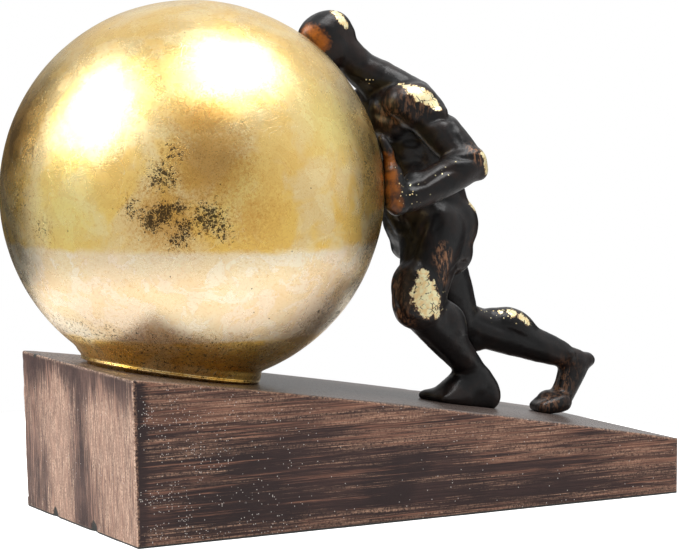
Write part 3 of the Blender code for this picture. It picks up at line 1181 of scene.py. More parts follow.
@dataclass(frozen=True)
class Ramp:
    """The painted block with its arched top, rounded corners and worn edges.

    Args:
        edge: Radius of the long edges.
        corner: Radius of the low end's upright corners.
        lean: Distance by which the tall end's foot is set back.
        overhang: Distance by which its top stands out.
        most: Largest radius of a worn edge.
        foot_share: Share of the radius that the bottom edges have.
        depth: Depth under a face that its shaping reaches.
        rubbed: Distance from an edge within which the paint is rubbed.
        steps: Spacings of the mesh along the length and the width.
        tier_count: Rows of the mesh between the lowest and the highest edge steps.
        bands: Middle, width and strength of the tall end's upright bands of paint, over half its width.
    """

    edge: float = 1.1
    corner: float = 3.2
    lean: float = 0.8
    overhang: float = 1.2
    most: float = 3.2
    foot_share: float = 0.45
    depth: float = 4.0
    rubbed: float = 2.6
    steps: tuple = (1.5, 1.7)
    tier_count: int = 30
    bands: tuple = ((0.34, 0.17, 0.62), (-0.04, 0.09, -0.32), (-0.7, 0.3, 0.25))

    @staticmethod
    def spacing(length: float, step: float) -> np.ndarray:
        """Return places along a side, closer near its ends.

        Args:
            length: Length of the side.
            step: Spacing away from the ends.

        Returns:
            Places from 0 to the length.
        """
        near = np.array((*EDGE_STEPS, 4.3))
        middle = np.linspace(near[-1], length - near[-1], int((length - 2 * near[-1]) / step) + 1)
        return np.concatenate([near[:-1], middle, (length - near[:-1])[::-1]])

    def build(self, mats: Sequence[Material]) -> Piece:
        """Make the ramp.

        Args:
            mats: Materials in the order of Face.

        Returns:
            The object.
        """
        xs = self.spacing(SLOPE.length, self.steps[0]) - SLOPE.length / 2
        ys = self.spacing(SLOPE.width, self.steps[1]) - SLOPE.width / 2
        low = np.array(EDGE_STEPS) / 60
        zs = np.concatenate([low, np.linspace(0.07, 0.93, self.tier_count), 1 - low[::-1]])
        bm = bmesh.new()
        bmesh.ops.create_cube(bm, size=2)
        for axis, places in enumerate((xs, ys, zs)):
            run = [e for e in bm.edges if abs(e.verts[0].co[axis] - e.verts[1].co[axis]) > 1]
            bmesh.ops.subdivide_edges(bm, edges=run, cuts=len(places) - 2, use_grid_fill=True)
        points = np.array([v.co[:] for v in bm.verts])
        faces = [[v.index for v in f.verts] for f in bm.faces]
        sides = [tuple(f.normal) for f in bm.faces]
        bm.free()
        for axis, places in enumerate((xs, ys, zs)):
            index = np.rint((points[:, axis] + 1) / 2 * (len(places) - 1)).astype(int)
            points[:, axis] = places[index]
        points[:, :2] = self.round_corners(points[:, :2])
        share = points[:, 2].copy()
        top = SLOPE.top(points[:, 0])
        points[:, 2] = share * top
        points, worn = self.wear(points, share, top)
        obj = make_piece("painted_ramp", points, faces, Matrix.Identity(4))
        for mat in mats:
            obj.data.materials.append(mat)
        kinds = [Face.TOP if n[2] > 0.5 else Face.END if abs(n[0]) > 0.5 else Face.SIDE for n in sides]
        obj.data.polygons.foreach_set("material_index", [k.value for k in kinds])
        layers = {"edge": worn, "chip": self.chips(points), "load": self.load(points, share, top),
                  "spatter": self.spatter(points)}
        for name, values in layers.items():
            paint_points(obj, name, values)
        settle(obj, Role.RAMP)
        return obj

    def round_corners(self, flat: np.ndarray) -> np.ndarray:
        """Round the low end's upright corners.

        Args:
            flat: Places on the floor.

        Returns:
            The moved places.
        """
        out = flat.copy()
        for side in (-1, 1):
            inner = np.array([SLOPE.length / 2 - self.corner, side * (SLOPE.width / 2 - self.corner)])
            off = (flat - inner) * (1, side)
            inside = (off > 0).all(1)
            far = np.hypot(off[:, 0], off[:, 1])
            scale = np.where(inside, off.max(1) / np.maximum(far, 1e-6), 1)
            out[inside] = (inner + off * (1, side) * scale[:, None])[inside]
        return out

    def wear(self, points: np.ndarray, share: np.ndarray, top: np.ndarray) -> tuple:
        """Round and dent the edges.

        Args:
            points: Corners of the mesh.
            share: Height of each as a share of the top's.
            top: Height of the top over each.

        Returns:
            The moved corners and how near an edge each is, from 0 to 1.
        """
        half = np.array([SLOPE.length / 2, SLOPE.width / 2])
        d = np.stack([points[:, 0] + half[0], half[0] - points[:, 0], points[:, 1] + half[1],
                      half[1] - points[:, 1], points[:, 2], top - points[:, 2]], 1)
        walls = np.array([(1, 0, 0), (-1, 0, 0), (0, 1, 0), (0, -1, 0), (0, 0, 1), (0, 0, -1)], float)
        rough = 0.5 + 0.5 * drifting(points, 0.06, 7.0) + 0.35 * drifting(points, 0.35, 8.0)
        radius = self.edge * (0.75 + 0.9 * np.clip(rough, 0, 1.4))
        radius = np.minimum(radius, self.most) * np.where(d[:, 4] < self.depth, self.foot_share, 1)
        over = np.clip(radius[:, None] - d, 0, None)
        count = (over > 0).sum(1)
        size = np.linalg.norm(over, axis=1)
        pull = np.where((count > 1) & (size > 1e-9), 1 - radius / np.maximum(size, 1e-9), 0)
        moved = points + (over * np.clip(pull, 0, 1)[:, None]) @ walls
        near = np.sort(d, 1)
        worn = np.clip(1 - near[:, 1] / self.rubbed, 0, 1)
        slant = self.lean * (1 - share) - self.overhang * share
        moved[:, 0] += slant * np.clip(1 - d[:, 0] / self.depth, 0, 1)
        for (x, y, z), reach, depth in self.dents():
            gap = distance(moved, (x, y, z))
            inward = np.array([-x, -y, SLOPE.top(x) / 2 - z])
            inward /= np.linalg.norm(inward)
            moved += (depth * np.clip(1 - gap / reach, 0, 1) ** 1.5)[:, None] * inward
        moved[:, 2] = np.maximum(moved[:, 2], 0)
        return moved, worn

    def dents(self) -> tuple:
        """Return the knocks in the edges.

        Returns:
            Place, reach and depth of each.
        """
        x, y = SLOPE.length / 2, SLOPE.width / 2
        return (
            ((-x, y * 0.46, 1.0), 4.2, 1.0),
            ((-x, -y * 0.24, 1.0), 4.8, 1.1),
            ((-x, y * 0.75, SLOPE.tall_end), 3.0, 0.6),
            ((x * 0.45, y, SLOPE.top(x * 0.45)), 3.5, 0.7),
            ((x * 0.1, y, 0), 4.0, 0.8),
            ((x, y * 0.3, SLOPE.low_end), 3.0, 0.6),
        )

    def chips(self, points: np.ndarray) -> np.ndarray:
        """Return how bare of paint each corner of the mesh is.

        Args:
            points: Corners of the mesh.

        Returns:
            Values from 0 to 1.
        """
        bare = np.zeros(len(points))
        for place, reach, _ in self.dents():
            off = (points - place) * (1, 1.25, 0.8)
            bare = np.maximum(bare, np.clip(1.25 - 0.55 * np.linalg.norm(off, axis=1) / (0.5 * reach), 0, 1))
        low = np.clip((1.6 - points[:, 2]) / 1.2, 0, 1)
        return np.maximum(bare, low * 0.85)

    def load(self, points: np.ndarray, share: np.ndarray, top: np.ndarray) -> np.ndarray:
        """Return how much paint the dry brush left at each corner of the mesh.

        Args:
            points: Corners of the mesh.
            share: Height of each as a share of the top's.
            top: Height of the top over each.

        Returns:
            Shares of the finish's own cover.
        """
        half = SLOPE.length / 2
        under = top * (1 - share)
        side = 0.78 + 0.50 * bell(under, 8, 11) + 0.3 * bell(points[:, 2], 0, 5)
        side *= np.clip((points[:, 0] + half) / 6, 0.1, 1)
        across = points[:, 1] / (SLOPE.width / 2)
        bands = 0.62 * np.ones(len(points))
        for middle, width, height in self.bands:
            bands += height * bell(across, middle, width)
        end = bands * np.clip(0.45 + (under - 4) / 22, 0.35, 1.1)
        flat = 0.8 + 2.4 * np.clip((-points[:, 0] - half * 0.45) / 25, 0, 1)
        tall = points[:, 0] < -half + 1.0
        lid = under < 0.4
        return np.where(tall, end, np.where(lid, flat, side)) + 0.15 * drifting(points, 0.03, 6.0)

    def spatter(self, points: np.ndarray) -> np.ndarray:
        """Return how thickly pale specks lie at each corner of the mesh.

        Args:
            points: Corners of the mesh.

        Returns:
            Values from 0 to 1.
        """
        from_end = points[:, 0] + SLOPE.length / 2
        clumps = np.clip(0.25 + 1.3 * drifting(points, 0.12, 9.0), 0, 1)
        thick = clumps * np.clip(1 - from_end / 85, 0, 1) * np.clip(from_end - 0.8, 0, 1)
        return np.clip(0.8 * thick + 0.02, 0, 1)


def spot(turn: float, rise: float, lift: float) -> Vector:
    """Return a point above the ball, in the slope's frame.

    Args:
        turn: Degrees round from downhill.
        rise: Degrees up.
        lift: Height off the ball.

    Returns:
        The point.
    """
    a, b = math.radians(turn), math.radians(rise)
    reach = SLOPE.radius + lift
    level = reach * math.cos(b)
    return Vector((level * math.cos(a), level * math.sin(a), SLOPE.ball_height + reach * math.sin(b)))


@dataclass
class Clay:
    """Solid lumps in the slope's frame, gathered to be fused into one figure.

    Args:
        sides: Columns of each lump.
        rings: Rows of each lump.
        grain: Size of the voxels that fuse them.
    """

    sides: int = 28
    rings: int = 18
    grain: float = 0.77

    def __post_init__(self) -> None:
        """Start with nothing but the unit sphere that every lump is bent from."""
        lat = np.linspace(-math.pi / 2, math.pi / 2, self.rings + 1)[1:-1]
        turn = np.linspace(0, 2 * math.pi, self.sides, endpoint=False)
        circle = np.stack([np.cos(turn), np.sin(turn), 0 * turn], 1)
        rows = [np.cos(a) * circle + (0, 0, np.sin(a)) for a in lat]
        self.unit = np.concatenate([[(0, 0, -1)], *rows, [(0, 0, 1)]])
        n, last = self.sides, len(self.unit) - 1
        ring = [(i, (i + 1) % n) for i in range(n)]
        self.web = [(0, 1 + j, 1 + i) for i, j in ring]
        for a in range(1, 1 + (self.rings - 2) * n, n):
            self.web += [(a + i, a + j, a + n + j, a + n + i) for i, j in ring]
        self.web += [(last, last - n + i, last - n + j) for i, j in ring]
        self.lumps = []

    def spindle(self, a: Triple, b: Triple, ends: tuple, swell: Optional[float] = None, flat: float = 1.0,
                across: Triple = (0, 1, 0)) -> None:
        """Add a limb from one point to another.

        Args:
            a: Start.
            b: End.
            ends: Radii at the start and the end.
            swell: Radius halfway.
            flat: Factor on the thickness square to across.
            across: Direction of the full width.
        """
        a, b, across = np.array(a, float), np.array(b, float), np.array(across, float)
        ra, rb = ends
        rm = swell if swell else (ra + rb) / 2
        axis = (b - a) / np.linalg.norm(b - a)
        side = across - axis * (across @ axis)
        side /= np.linalg.norm(side)
        thick = np.cross(axis, side) * flat
        x, y, z = self.unit.T
        lat = np.arcsin(z) / (math.pi / 2)
        t = np.clip(0.5 + lat, 0, 1)
        radius = ra * (1 - t) * (1 - 2 * t) + rm * 4 * t * (1 - t) + rb * t * (2 * t - 1)
        beyond = np.maximum(0, np.abs(lat) - 0.5) * math.pi
        girth = np.cos(beyond) * radius / np.maximum(np.hypot(x, y), 1e-6)
        reach = np.sin(beyond) * np.sign(lat) * radius
        self.lumps.append(a + t[:, None] * (b - a) + reach[:, None] * axis
                          + (x * girth)[:, None] * side + (y * girth)[:, None] * thick)

    def lump(self, centre: Triple, radii: Triple, lean: Triple = (0, 0, 0)) -> None:
        """Add an ellipsoid.

        Args:
            centre: Middle.
            radii: Half sizes.
            lean: Turns about the three axes, in degrees.
        """
        turn = Matrix.Rotation(math.radians(lean[2]), 3, "Z") @ Matrix.Rotation(math.radians(lean[1]), 3, "Y")
        turn = turn @ Matrix.Rotation(math.radians(lean[0]), 3, "X")
        self.lumps.append(self.unit * np.array(radii) @ np.array(turn).T + np.array(centre))

    def fuse(self) -> "Skin":
        """Fuse the lumps into one closed skin.

        Returns:
            The skin.
        """
        mesh = bpy.data.meshes.new("lumps")
        size = len(self.unit)
        faces = [tuple(i + k * size for i in f) for k in range(len(self.lumps)) for f in self.web]
        mesh.from_pydata(np.concatenate(self.lumps).tolist(), [], faces)
        obj = put("lumps", mesh)
        mod = obj.modifiers.new("fused", "REMESH")
        mod.mode = "VOXEL"
        mod.voxel_size = self.grain
        baked = bpy.data.meshes.new_from_object(obj.evaluated_get(bpy.context.evaluated_depsgraph_get()))
        points = np.empty(len(baked.vertices) * 3)
        baked.vertices.foreach_get("co", points)
        faces = [tuple(p.vertices) for p in baked.polygons]
        edges = np.empty(len(baked.edges) * 2, dtype=np.int64)
        baked.edges.foreach_get("vertices", edges)
        bpy.data.objects.remove(obj, do_unlink=True)
        bpy.data.meshes.remove(mesh)
        bpy.data.meshes.remove(baked)
        return Skin(points.reshape(-1, 3), faces, edges.reshape(-1, 2))


class Skin:
    """A fused surface that is smoothed and carved as arrays."""

    def __init__(self, points: np.ndarray, faces: list, edges: np.ndarray) -> None:
        """Keep the surface.

        Args:
            points: Corners, one to a row.
            faces: Corner numbers of each face.
            edges: Corner numbers of each edge.
        """
        self.points = points
        self.faces = faces
        self.ends = np.concatenate([edges, edges[:, ::-1]])
        self.count = np.bincount(self.ends[:, 0], minlength=len(points)).clip(1)

    def mean(self, values: np.ndarray) -> np.ndarray:
        """Return the mean of each corner's neighbours.

        Args:
            values: One row or number a corner.

        Returns:
            The means.
        """
        flat = values.reshape(len(self.points), -1)
        columns = [np.bincount(self.ends[:, 0], c[self.ends[:, 1]], len(self.points)) for c in flat.T]
        return (np.stack(columns, 1) / self.count[:, None]).reshape(values.shape)

    def soften(self, rounds: int, share: Union[float, np.ndarray] = 0.5) -> None:
        """Smooth the surface.

        Args:
            rounds: Number of rounds.
            share: Move towards the neighbours' mean in each round, the same for all or one a corner.
        """
        weight = share if isinstance(share, float) else share[:, None]
        for _ in range(rounds):
            self.points = self.points + weight * (self.mean(self.points) - self.points)

    def normals(self) -> np.ndarray:
        """Return the unit normal at each corner.

        Returns:
            One normal a corner.
        """
        quads = np.array([f if len(f) == 4 else (*f, f[2]) for f in self.faces])
        p = self.points
        cross = np.cross(p[quads[:, 2]] - p[quads[:, 0]], p[quads[:, 3]] - p[quads[:, 1]])
        total = np.stack([np.bincount(quads.ravel(), np.repeat(cross[:, i], 4), len(p)) for i in range(3)], 1)
        return total / np.linalg.norm(total, axis=1, keepdims=True).clip(1e-9)

    def bulge(self, rounds: int) -> np.ndarray:
        """Return how far each corner stands out of its surroundings.

        Args:
            rounds: Reach of the surroundings, in rounds of smoothing.

        Returns:
            Heights in millimetres.
        """
        away = self.points.copy()
        for _ in range(rounds):
            away = self.mean(away)
        return ((self.points - away) * self.normals()).sum(1)

    def carve(self, strokes: Sequence["Stroke"]) -> None:
        """Press every stroke into the surface.

        Args:
            strokes: The strokes.
        """
        tree = BVHTree.FromPolygons(self.points.tolist(), self.faces)
        facing = self.normals()
        push = np.zeros(len(self.points))
        for stroke in strokes:
            push += stroke.depths(self.points, facing, tree)
        self.points = self.points - facing * push[:, None]


@dataclass(frozen=True)
class Stroke:
    """A groove or ridge drawn over the skin.

    Args:
        path: Points along it, near the surface.
        width: Half width.
        depth: Depth of the groove, negative for a ridge.
        ends: Share of the depth left at the two ends.
    """

    path: tuple
    width: float = 1.4
    depth: float = 0.8
    ends: float = 0.25

    def depths(self, points: np.ndarray, facing: np.ndarray, tree: BVHTree) -> np.ndarray:
        """Return how deep the stroke is at each corner.

        Args:
            points: Corners of the skin.
            facing: Unit normals there.
            tree: Search tree of the skin.

        Returns:
            Depths in millimetres.
        """
        hits = [tree.find_nearest(Vector(p)) for p in self.path]
        line = np.array([tuple(h[0]) for h in hits])
        out = np.array([tuple(h[1]) for h in hits])
        reach = self.width * 3
        near = ((points > line.min(0) - reach) & (points < line.max(0) + reach)).all(1)
        spots = points[near]
        best = np.full(len(spots), 1e9)
        along = np.zeros(len(spots))
        agree = np.zeros(len(spots))
        runs = np.linalg.norm(np.diff(line, axis=0), axis=1)
        starts = np.concatenate([[0], np.cumsum(runs)])
        for k, run in enumerate(runs):
            step = line[k + 1] - line[k]
            t = np.clip(((spots - line[k]) @ step) / max(run * run, 1e-9), 0, 1)
            gap = np.linalg.norm(spots - line[k] - t[:, None] * step, axis=1)
            closer = gap < best
            best[closer] = gap[closer]
            along[closer] = ((starts[k] + t * run) / starts[-1])[closer]
            normal = out[k] * (1 - t[:, None]) + out[k + 1] * t[:, None]
            agree[closer] = (normal * facing[near]).sum(1)[closer]
        fade = self.ends + (1 - self.ends) * np.sin(math.pi * np.clip(along, 0, 1)) ** 0.6
        deep = np.zeros(len(points))
        deep[near] = self.depth * bell(best, 0, self.width) * fade * np.clip(agree * 2.2 + 0.2, 0, 1)
        return deep


@dataclass(frozen=True)
class Patch:
    """A spot of another finish on the skin.

    Args:
        places: Middles, each with a radius of its own where a fourth number gives one.
        radius: Radius of the rest.
        weight: Strength at the middle, over a half.
    """

    places: tuple
    radius: float = 4.0
    weight: float = 1.15

    def field(self, points: np.ndarray) -> np.ndarray:
        """Return how strong the finish is at each corner.

        Args:
            points: Corners of the skin.

        Returns:
            Values from 0 to 1, a little over a half within the radius.
        """
        best = np.zeros(len(points))
        for place in self.places:
            radius = place[3] if len(place) > 3 else self.radius
            fall = (self.weight - 0.5) / radius
            best = np.maximum(best, self.weight - fall * distance(points, place[:3]))
        return np.clip(best, 0, 1)


def strongest(patches: Sequence[Patch], points: np.ndarray) -> np.ndarray:
    """Return the strongest of several patches at each corner.

    Args:
        patches: The patches.
        points: Corners of the skin.

    Returns:
        Values from 0 to 1.
    """
    return np.max([patch.field(points) for patch in patches], axis=0)


@dataclass(frozen=True)
class Arm:
    """The joints of one arm.

    Args:
        side: Side of the body.
        shoulder: Middle of the shoulder.
        elbow: Middle of the elbow.
        wrist: Middle of the wrist.
    """

    side: Side
    shoulder: tuple
    elbow: tuple
    wrist: tuple


@dataclass(frozen=True)
class Leg:
    """The joints and girths of one leg.

    Args:
        side: Side of the body.
        hip: Middle of the hip.
        knee: Middle of the knee.
        ankle: Middle of the ankle.
        thigh: Radius of the thigh.
        calf_at: Place of the calf, as a share from the knee to the ankle.
    """

    side: Side
    hip: tuple
    knee: tuple
    ankle: tuple
    thigh: float
    calf_at: float


ARMS = (
    Arm(Side.LEFT, (89.5, -21, 126), (107.5, -41, 104.4), (79, -41.5, 87)),
    Arm(Side.RIGHT, (92.5, 18, 124), (110, 37, 104), (80, 41, 88)),
)
LEGS = (
    Leg(Side.LEFT, (114, -8, 76), (105.5, -20, 41), (145, -8.5, 16), 14.4, 0.34),
    Leg(Side.RIGHT, (119.5, 9, 74), (148.5, 18, 37), (202, 9.5, 27.4), 13.2, 0.48),
)


@dataclass(frozen=True)
class Figure:
    """The man, modelled in lumps, fused, carved and dressed.

    Args:
        rounds: Rounds of smoothing after the lumps are fused.
        calm_rounds: Further rounds within the CALM patches.
        last_rounds: Rounds after the carving.
        last_share: Move in each of these.
        swells: Height, scale and seed of the casting's unevenness.
        clearance: Room kept from the ball and the ramp.
        drop: Height by which the raised foot hangs under its ankle.
        surroundings: Rounds that find what stands out.
        ridge: Height that counts as a full ridge.
        hollow: Depth that counts as a full hollow.
    """

    rounds: int = 11
    calm_rounds: int = 22
    last_rounds: int = 2
    last_share: float = 0.4
    swells: tuple = ((0.10, 0.16, 2.0), (0.05, 0.45, 4.0))
    clearance: float = 0.06
    drop: float = 0.4
    surroundings: int = 7
    ridge: float = 0.55
    hollow: float = 0.45

    def build(self, mat: Material) -> Piece:
        """Make the figure.

        Args:
            mat: Its material.

        Returns:
            The object.
        """
        clay = Clay()
        self.add_trunk(clay)
        self.add_head(clay)
        for arm in ARMS:
            self.add_arm(clay, arm)
        for arm in ARMS:
            self.add_hand(clay, arm)
        for leg in LEGS:
            self.add_leg(clay, leg)
        self.add_flat_foot(clay, LEGS[0].ankle)
        self.add_raised_foot(clay, Vector(LEGS[1].ankle) - Vector((0, 0, self.drop)))
        skin = clay.fuse()
        skin.soften(self.rounds)
        skin.soften(self.calm_rounds, 0.5 * strongest(CALM, skin.points))
        skin.carve(CARVING)
        skin.soften(self.last_rounds, self.last_share)
        skin.points = self.clear(self.cast_skin(skin))
        obj = make_piece("bronze_figure", skin.points, skin.faces, SLOPE.matrix)
        stand = skin.bulge(self.surroundings)
        paint_points(obj, "ridge", np.clip(stand / self.ridge, 0, 1))
        paint_points(obj, "hollow", np.clip(-stand / self.hollow, 0, 1))
        for name, patches in FINISHES.items():
            paint_points(obj, name, strongest(patches, skin.points))
        obj.data.materials.append(mat)
        settle(obj, Role.FIGURE)
        LOG.info("figure has %d faces", len(skin.faces))
        return obj

    def cast_skin(self, skin: "Skin") -> np.ndarray:
        """Return the skin with the slight unevenness of a casting."""
        uneven = sum(height * drifting(skin.points, scale, seed) for height, scale, seed in self.swells)
        return skin.points + skin.normals() * uneven[:, None]

    def clear(self, points: np.ndarray) -> np.ndarray:
        """Return the corners kept out of the ball and the ramp.

        Args:
            points: Corners of the skin.

        Returns:
            The moved corners.
        """
        middle = np.array((0, 0, SLOPE.ball_height))
        off = points - middle
        far = np.linalg.norm(off, axis=1)
        least = SLOPE.radius + self.clearance
        points = np.where((far < least)[:, None], middle + off * (least / far.clip(1e-6))[:, None], points)
        frame_now = np.array(SLOPE.matrix)
        row = points @ frame_now[:3, :3].T + frame_now[:3, 3]
        short = SLOPE.top(row[:, 0]) + self.clearance - row[:, 2]
        row[:, 2] += np.clip(short, 0, None)
        return (row - frame_now[:3, 3]) @ frame_now[:3, :3]

    def add_trunk(self, clay: Clay) -> None:
        """Add the pelvis, belly, ribs, back and yoke.

        Args:
            clay: Clay to add to.
        """
        clay.lump((115, 1, 78), (16, 17, 14), (0, -20, 0))
        clay.lump((124, -8, 79), (11.0, 10, 13), (0, -15, 0))
        clay.lump((126.3, 9, 76), (10.4, 10, 12.5), (0, -10, 0))
        clay.lump((117.4, 0, 89.3), (12.8, 16, 12), (0, -20, 0))
        clay.lump((123.5, -9, 67), (10.5, 9, 11), (0, 10, 0))
        clay.lump((107.0, -1, 74.6), (9.7, 11.5, 9.7))
        clay.lump((108.6, 3, 67.2), (7.0, 9, 7.2))
        clay.spindle((111, 1, 80), (103, 0, 104), (16.5, 16.5), 15.5, 0.98)
        clay.lump((98, 0, 115), (17, 19.5, 19), (0, -30, 0))
        clay.lump((91.8, 1, 126.6), (11, 22, 10.4), (0, -30, 0))
        clay.spindle((75, 0, 137.4), (98, 1, 129), (11.0, 14.0), 12.5, 0.72)
        for side, back in ((-1, 0), (1, 2)):
            clay.lump((83.5 + back, side * 9, 119), (9, 11.5, 9.5), (0, -30, 0))
            clay.lump((99.5 + back, side * 9, 121.5), (8, 9.5, 10.5), (0, -35, 0))
            clay.spindle((99 + back, side * 14.5, 118), (116 + back / 2, side * 10, 92), (8.5, 7), 8.6)
            clay.spindle((104 + back, side * 5, 126), (120.5, side * 5, 94), (6, 6.5), 6.2)
            clay.spindle((79, side * 3, 136.6), (90 + back, side * 16, 129.4), (7.7, 8.0), 8.0)

    def add_head(self, clay: Clay) -> None:
        """Add the neck and the smooth head, laid on the ball.

        Args:
            clay: Clay to add to.
        """
        clay.spindle((89, 0, 128.6), (62, 0, 144.6), (10.5, 8.0), 7.9)
        clay.lump((60.2, 0, 151.3), (5.2, 6.8, 6.2), (0, 20, 0))
        clay.lump(spot(0, 55.6, 10.8), (12.9, 9, 9.1), (0, -32, 0))
        clay.lump(spot(-0.2, 52.2, 7.6), (10.4, 8.6, 11.4), (0, 36, 0))

    def add_arm(self, clay: Clay, arm: Arm) -> None:
        """Add one arm, from the shoulder's cap to the wrist.

        Args:
            clay: Clay to add to.
            arm: Joints of the arm.
        """
        shoulder, elbow, wrist, y = Vector(arm.shoulder), Vector(arm.elbow), Vector(arm.wrist), arm.side.value
        along = (elbow - shoulder).normalized()
        rear = along.cross(Vector((0, 1, 0))).normalized()
        clay.lump(shoulder + Vector((-1.6, y, -0.4)), (9.8, 9.2, 10.6))
        clay.lump(shoulder + Vector((-8.8, -0.8 * y, 0.6)), (7.0, 8.2, 7.6), (0, 20, 0))
        clay.lump(shoulder + Vector((-10.4, -11.5 * y, -2.4)), (6.0, 7.0, 7.0))
        half = shoulder.lerp(elbow, 0.5)
        clay.spindle(shoulder + Vector((0, -4 * y, 3.4)), half - rear * 1.6, (8.4, 6.6), 9)
        clay.spindle(shoulder, elbow, (8.4, 6.8), 8.4)
        low = shoulder.lerp(elbow, 0.9)
        clay.spindle(shoulder.lerp(elbow, 0.48) - rear * 0.6, low + rear, (5.0, 5.2), 6.6)
        clay.spindle(shoulder.lerp(elbow, 0.25) - rear * 2.6, low - rear * 1.6, (5.4, 5.2), 7.0)
        clay.spindle(elbow, wrist, (7.0, 6.6), 7.8)
        clay.lump(wrist + Vector((3.4, -1.6 * y, 5.4)), (6.0, 5.0, 6.2))
        clay.spindle(elbow + Vector((-1, y * 1.4, 1.4)), elbow.lerp(wrist, 0.6), (6.6, 5.4), 7.6)
        clay.lump(elbow + Vector((2.6, y * 1.2, -1.9)), (4.9, 4.9, 4.9))

    def add_hand(self, clay: Clay, arm: Arm) -> None:
        """Add one open hand, laid up the ball.

        Args:
            clay: Clay to add to.
            arm: Joints of its arm.
        """
        wrist, y = Vector(arm.wrist), arm.side.value
        turn = 29.5 * y
        heel, knuckles = spot(turn, 5, 3.4), spot(turn, 14.5, 2.6)
        up = (knuckles - heel).normalized()
        across = up.cross(spot(turn, 10, 1) - spot(turn, 10, 0)).normalized()
        clay.spindle(wrist, heel.lerp(knuckles, 0.35), (5.2, 4.2), 5.4, 0.85, across)
        clay.spindle(heel - across * 3.6, knuckles - across * 4.2, (4.2, 3.2), 4.2, 0.9, across)
        clay.spindle(heel + across * 3.6, knuckles + across * 4.2, (4.2, 3.2), 4.2, 0.9, across)
        clay.spindle(heel, knuckles, (4.4, 3.2), 4.2, 0.9, across)
        outer = -across if across.y * y < 0 else across
        back = knuckles + outer * 3 + Vector((1.8, 0, 0))
        clay.spindle(heel + outer * 2.6 + Vector((2.2, 0, -0.6)), back, (4.8, 3.4), 4.6)
        for step in (-1.5, -0.5, 0.5, 1.5):
            spread = step * 3.0 * y
            root = spot(turn, 14, 2.6) + across * step * 3.9
            bend = spot(turn + spread * 0.9, 19.5, 3.2)
            clay.spindle(root, bend, (2.9, 2.4), 2.6)
            clay.spindle(bend, spot(turn + spread, 24.5 - 0.9 * abs(step - 0.3), 1.9), (2.4, 1.9), 2.3)
        inner = across if across.y * y < 0 else -across
        clay.spindle(heel + inner * 2, heel + inner * 9 + up * 5, (3.8, 2.7), 3.6)
        clay.spindle(heel + inner * 9 + up * 5, heel + inner * 11.5 + up * 10, (2.6, 2.0), 2.4)

    def add_leg(self, clay: Clay, leg: Leg) -> None:
        """Add one leg, from the hip to the ankle.

        Args:
            clay: Clay to add to.
            leg: Joints and girths of the leg.
        """
        hip, knee, ankle = Vector(leg.hip), Vector(leg.knee), Vector(leg.ankle)
        thigh, y = leg.thigh, leg.side.value
        down = (knee - hip).normalized()
        front = (Vector((-1, 0, 0)) + down * down.x).normalized()
        clay.spindle(hip, knee, (thigh, 10), thigh - 1.3 + 1.1 * y)
        clay.spindle(hip.lerp(knee, 0.48) + front * 1.4, knee - down + front * 4.6, (8.0, 8.6), 11.5)
        clay.spindle(hip.lerp(knee, 0.05) - front * 4, knee - down * 9 - front * 3.2, (9, 6.4), thigh - 4.6)
        clay.lump(knee + front * 2.8, (9.6, 9.2, 9.8))
        along = (ankle - knee).normalized()
        behind = Vector((-along.z, 0, along.x)).normalized()
        clay.spindle(knee, ankle, (9.0, 5.6), 8.0)
        calf = knee.lerp(ankle, leg.calf_at) + behind * 4.4
        clay.spindle(calf - along * 10, calf + along * 12, (6.4, 4.4), 9.0)
        shin = knee.lerp(ankle, 0.25) - behind * 2.4
        if leg.side is Side.RIGHT:
            clay.lump(knee.lerp(ankle, 0.17) - behind * 3.8, (9.5, 7.5, 8.2))
            clay.spindle(calf, ankle + behind * 1.9, (4.8, 4.5), 5.1)
        clay.spindle(shin, knee.lerp(ankle, 0.85) - behind * (0.2 - 0.4 * y), (5.2, 3.4), 4.9 - 0.1 * y)
        for edge in (-1, 1):
            clay.lump(ankle + Vector((1.6, edge * 4.6, 0.4 * y)), (2.6, 2.2, 2.8))

    def add_flat_foot(self, clay: Clay, ankle: Triple) -> None:
        """Add the left foot, flat on the slope.

        Args:
            clay: Clay to add to.
            ankle: Middle of the ankle.
        """
        ankle = Vector(ankle)
        clay.spindle(ankle, ankle + Vector((7, 0, -7)), (5.4, 6.4), 6.2)
        clay.lump(ankle + Vector((7.2, 0, -9.5)), (7.4, 6.6, 7.5))
        clay.spindle(ankle + Vector((1, 0, -2.7)), ankle + Vector((-15, -1, -11)), (7.4, 5), 7.1)
        clay.spindle(ankle + Vector((7, -1, -12)), ankle + Vector((-13, -4.4, -12.6)), (4.6, 3.8), 4.0)
        clay.spindle(ankle + Vector((-1, -2.6, -6)), ankle + Vector((-16, -4.6, -11.6)), (5.6, 3.4), 4.8)
        for step in range(5):
            across = -6.2 + 2.9 * step
            tip = ankle + Vector((-18.4 - 0.8 * step, across - 0.8, -12.6))
            clay.spindle(ankle + Vector((-6, across * 0.7, -11)), tip, (4.4, 2.3 + 0.12 * step), 3.6)

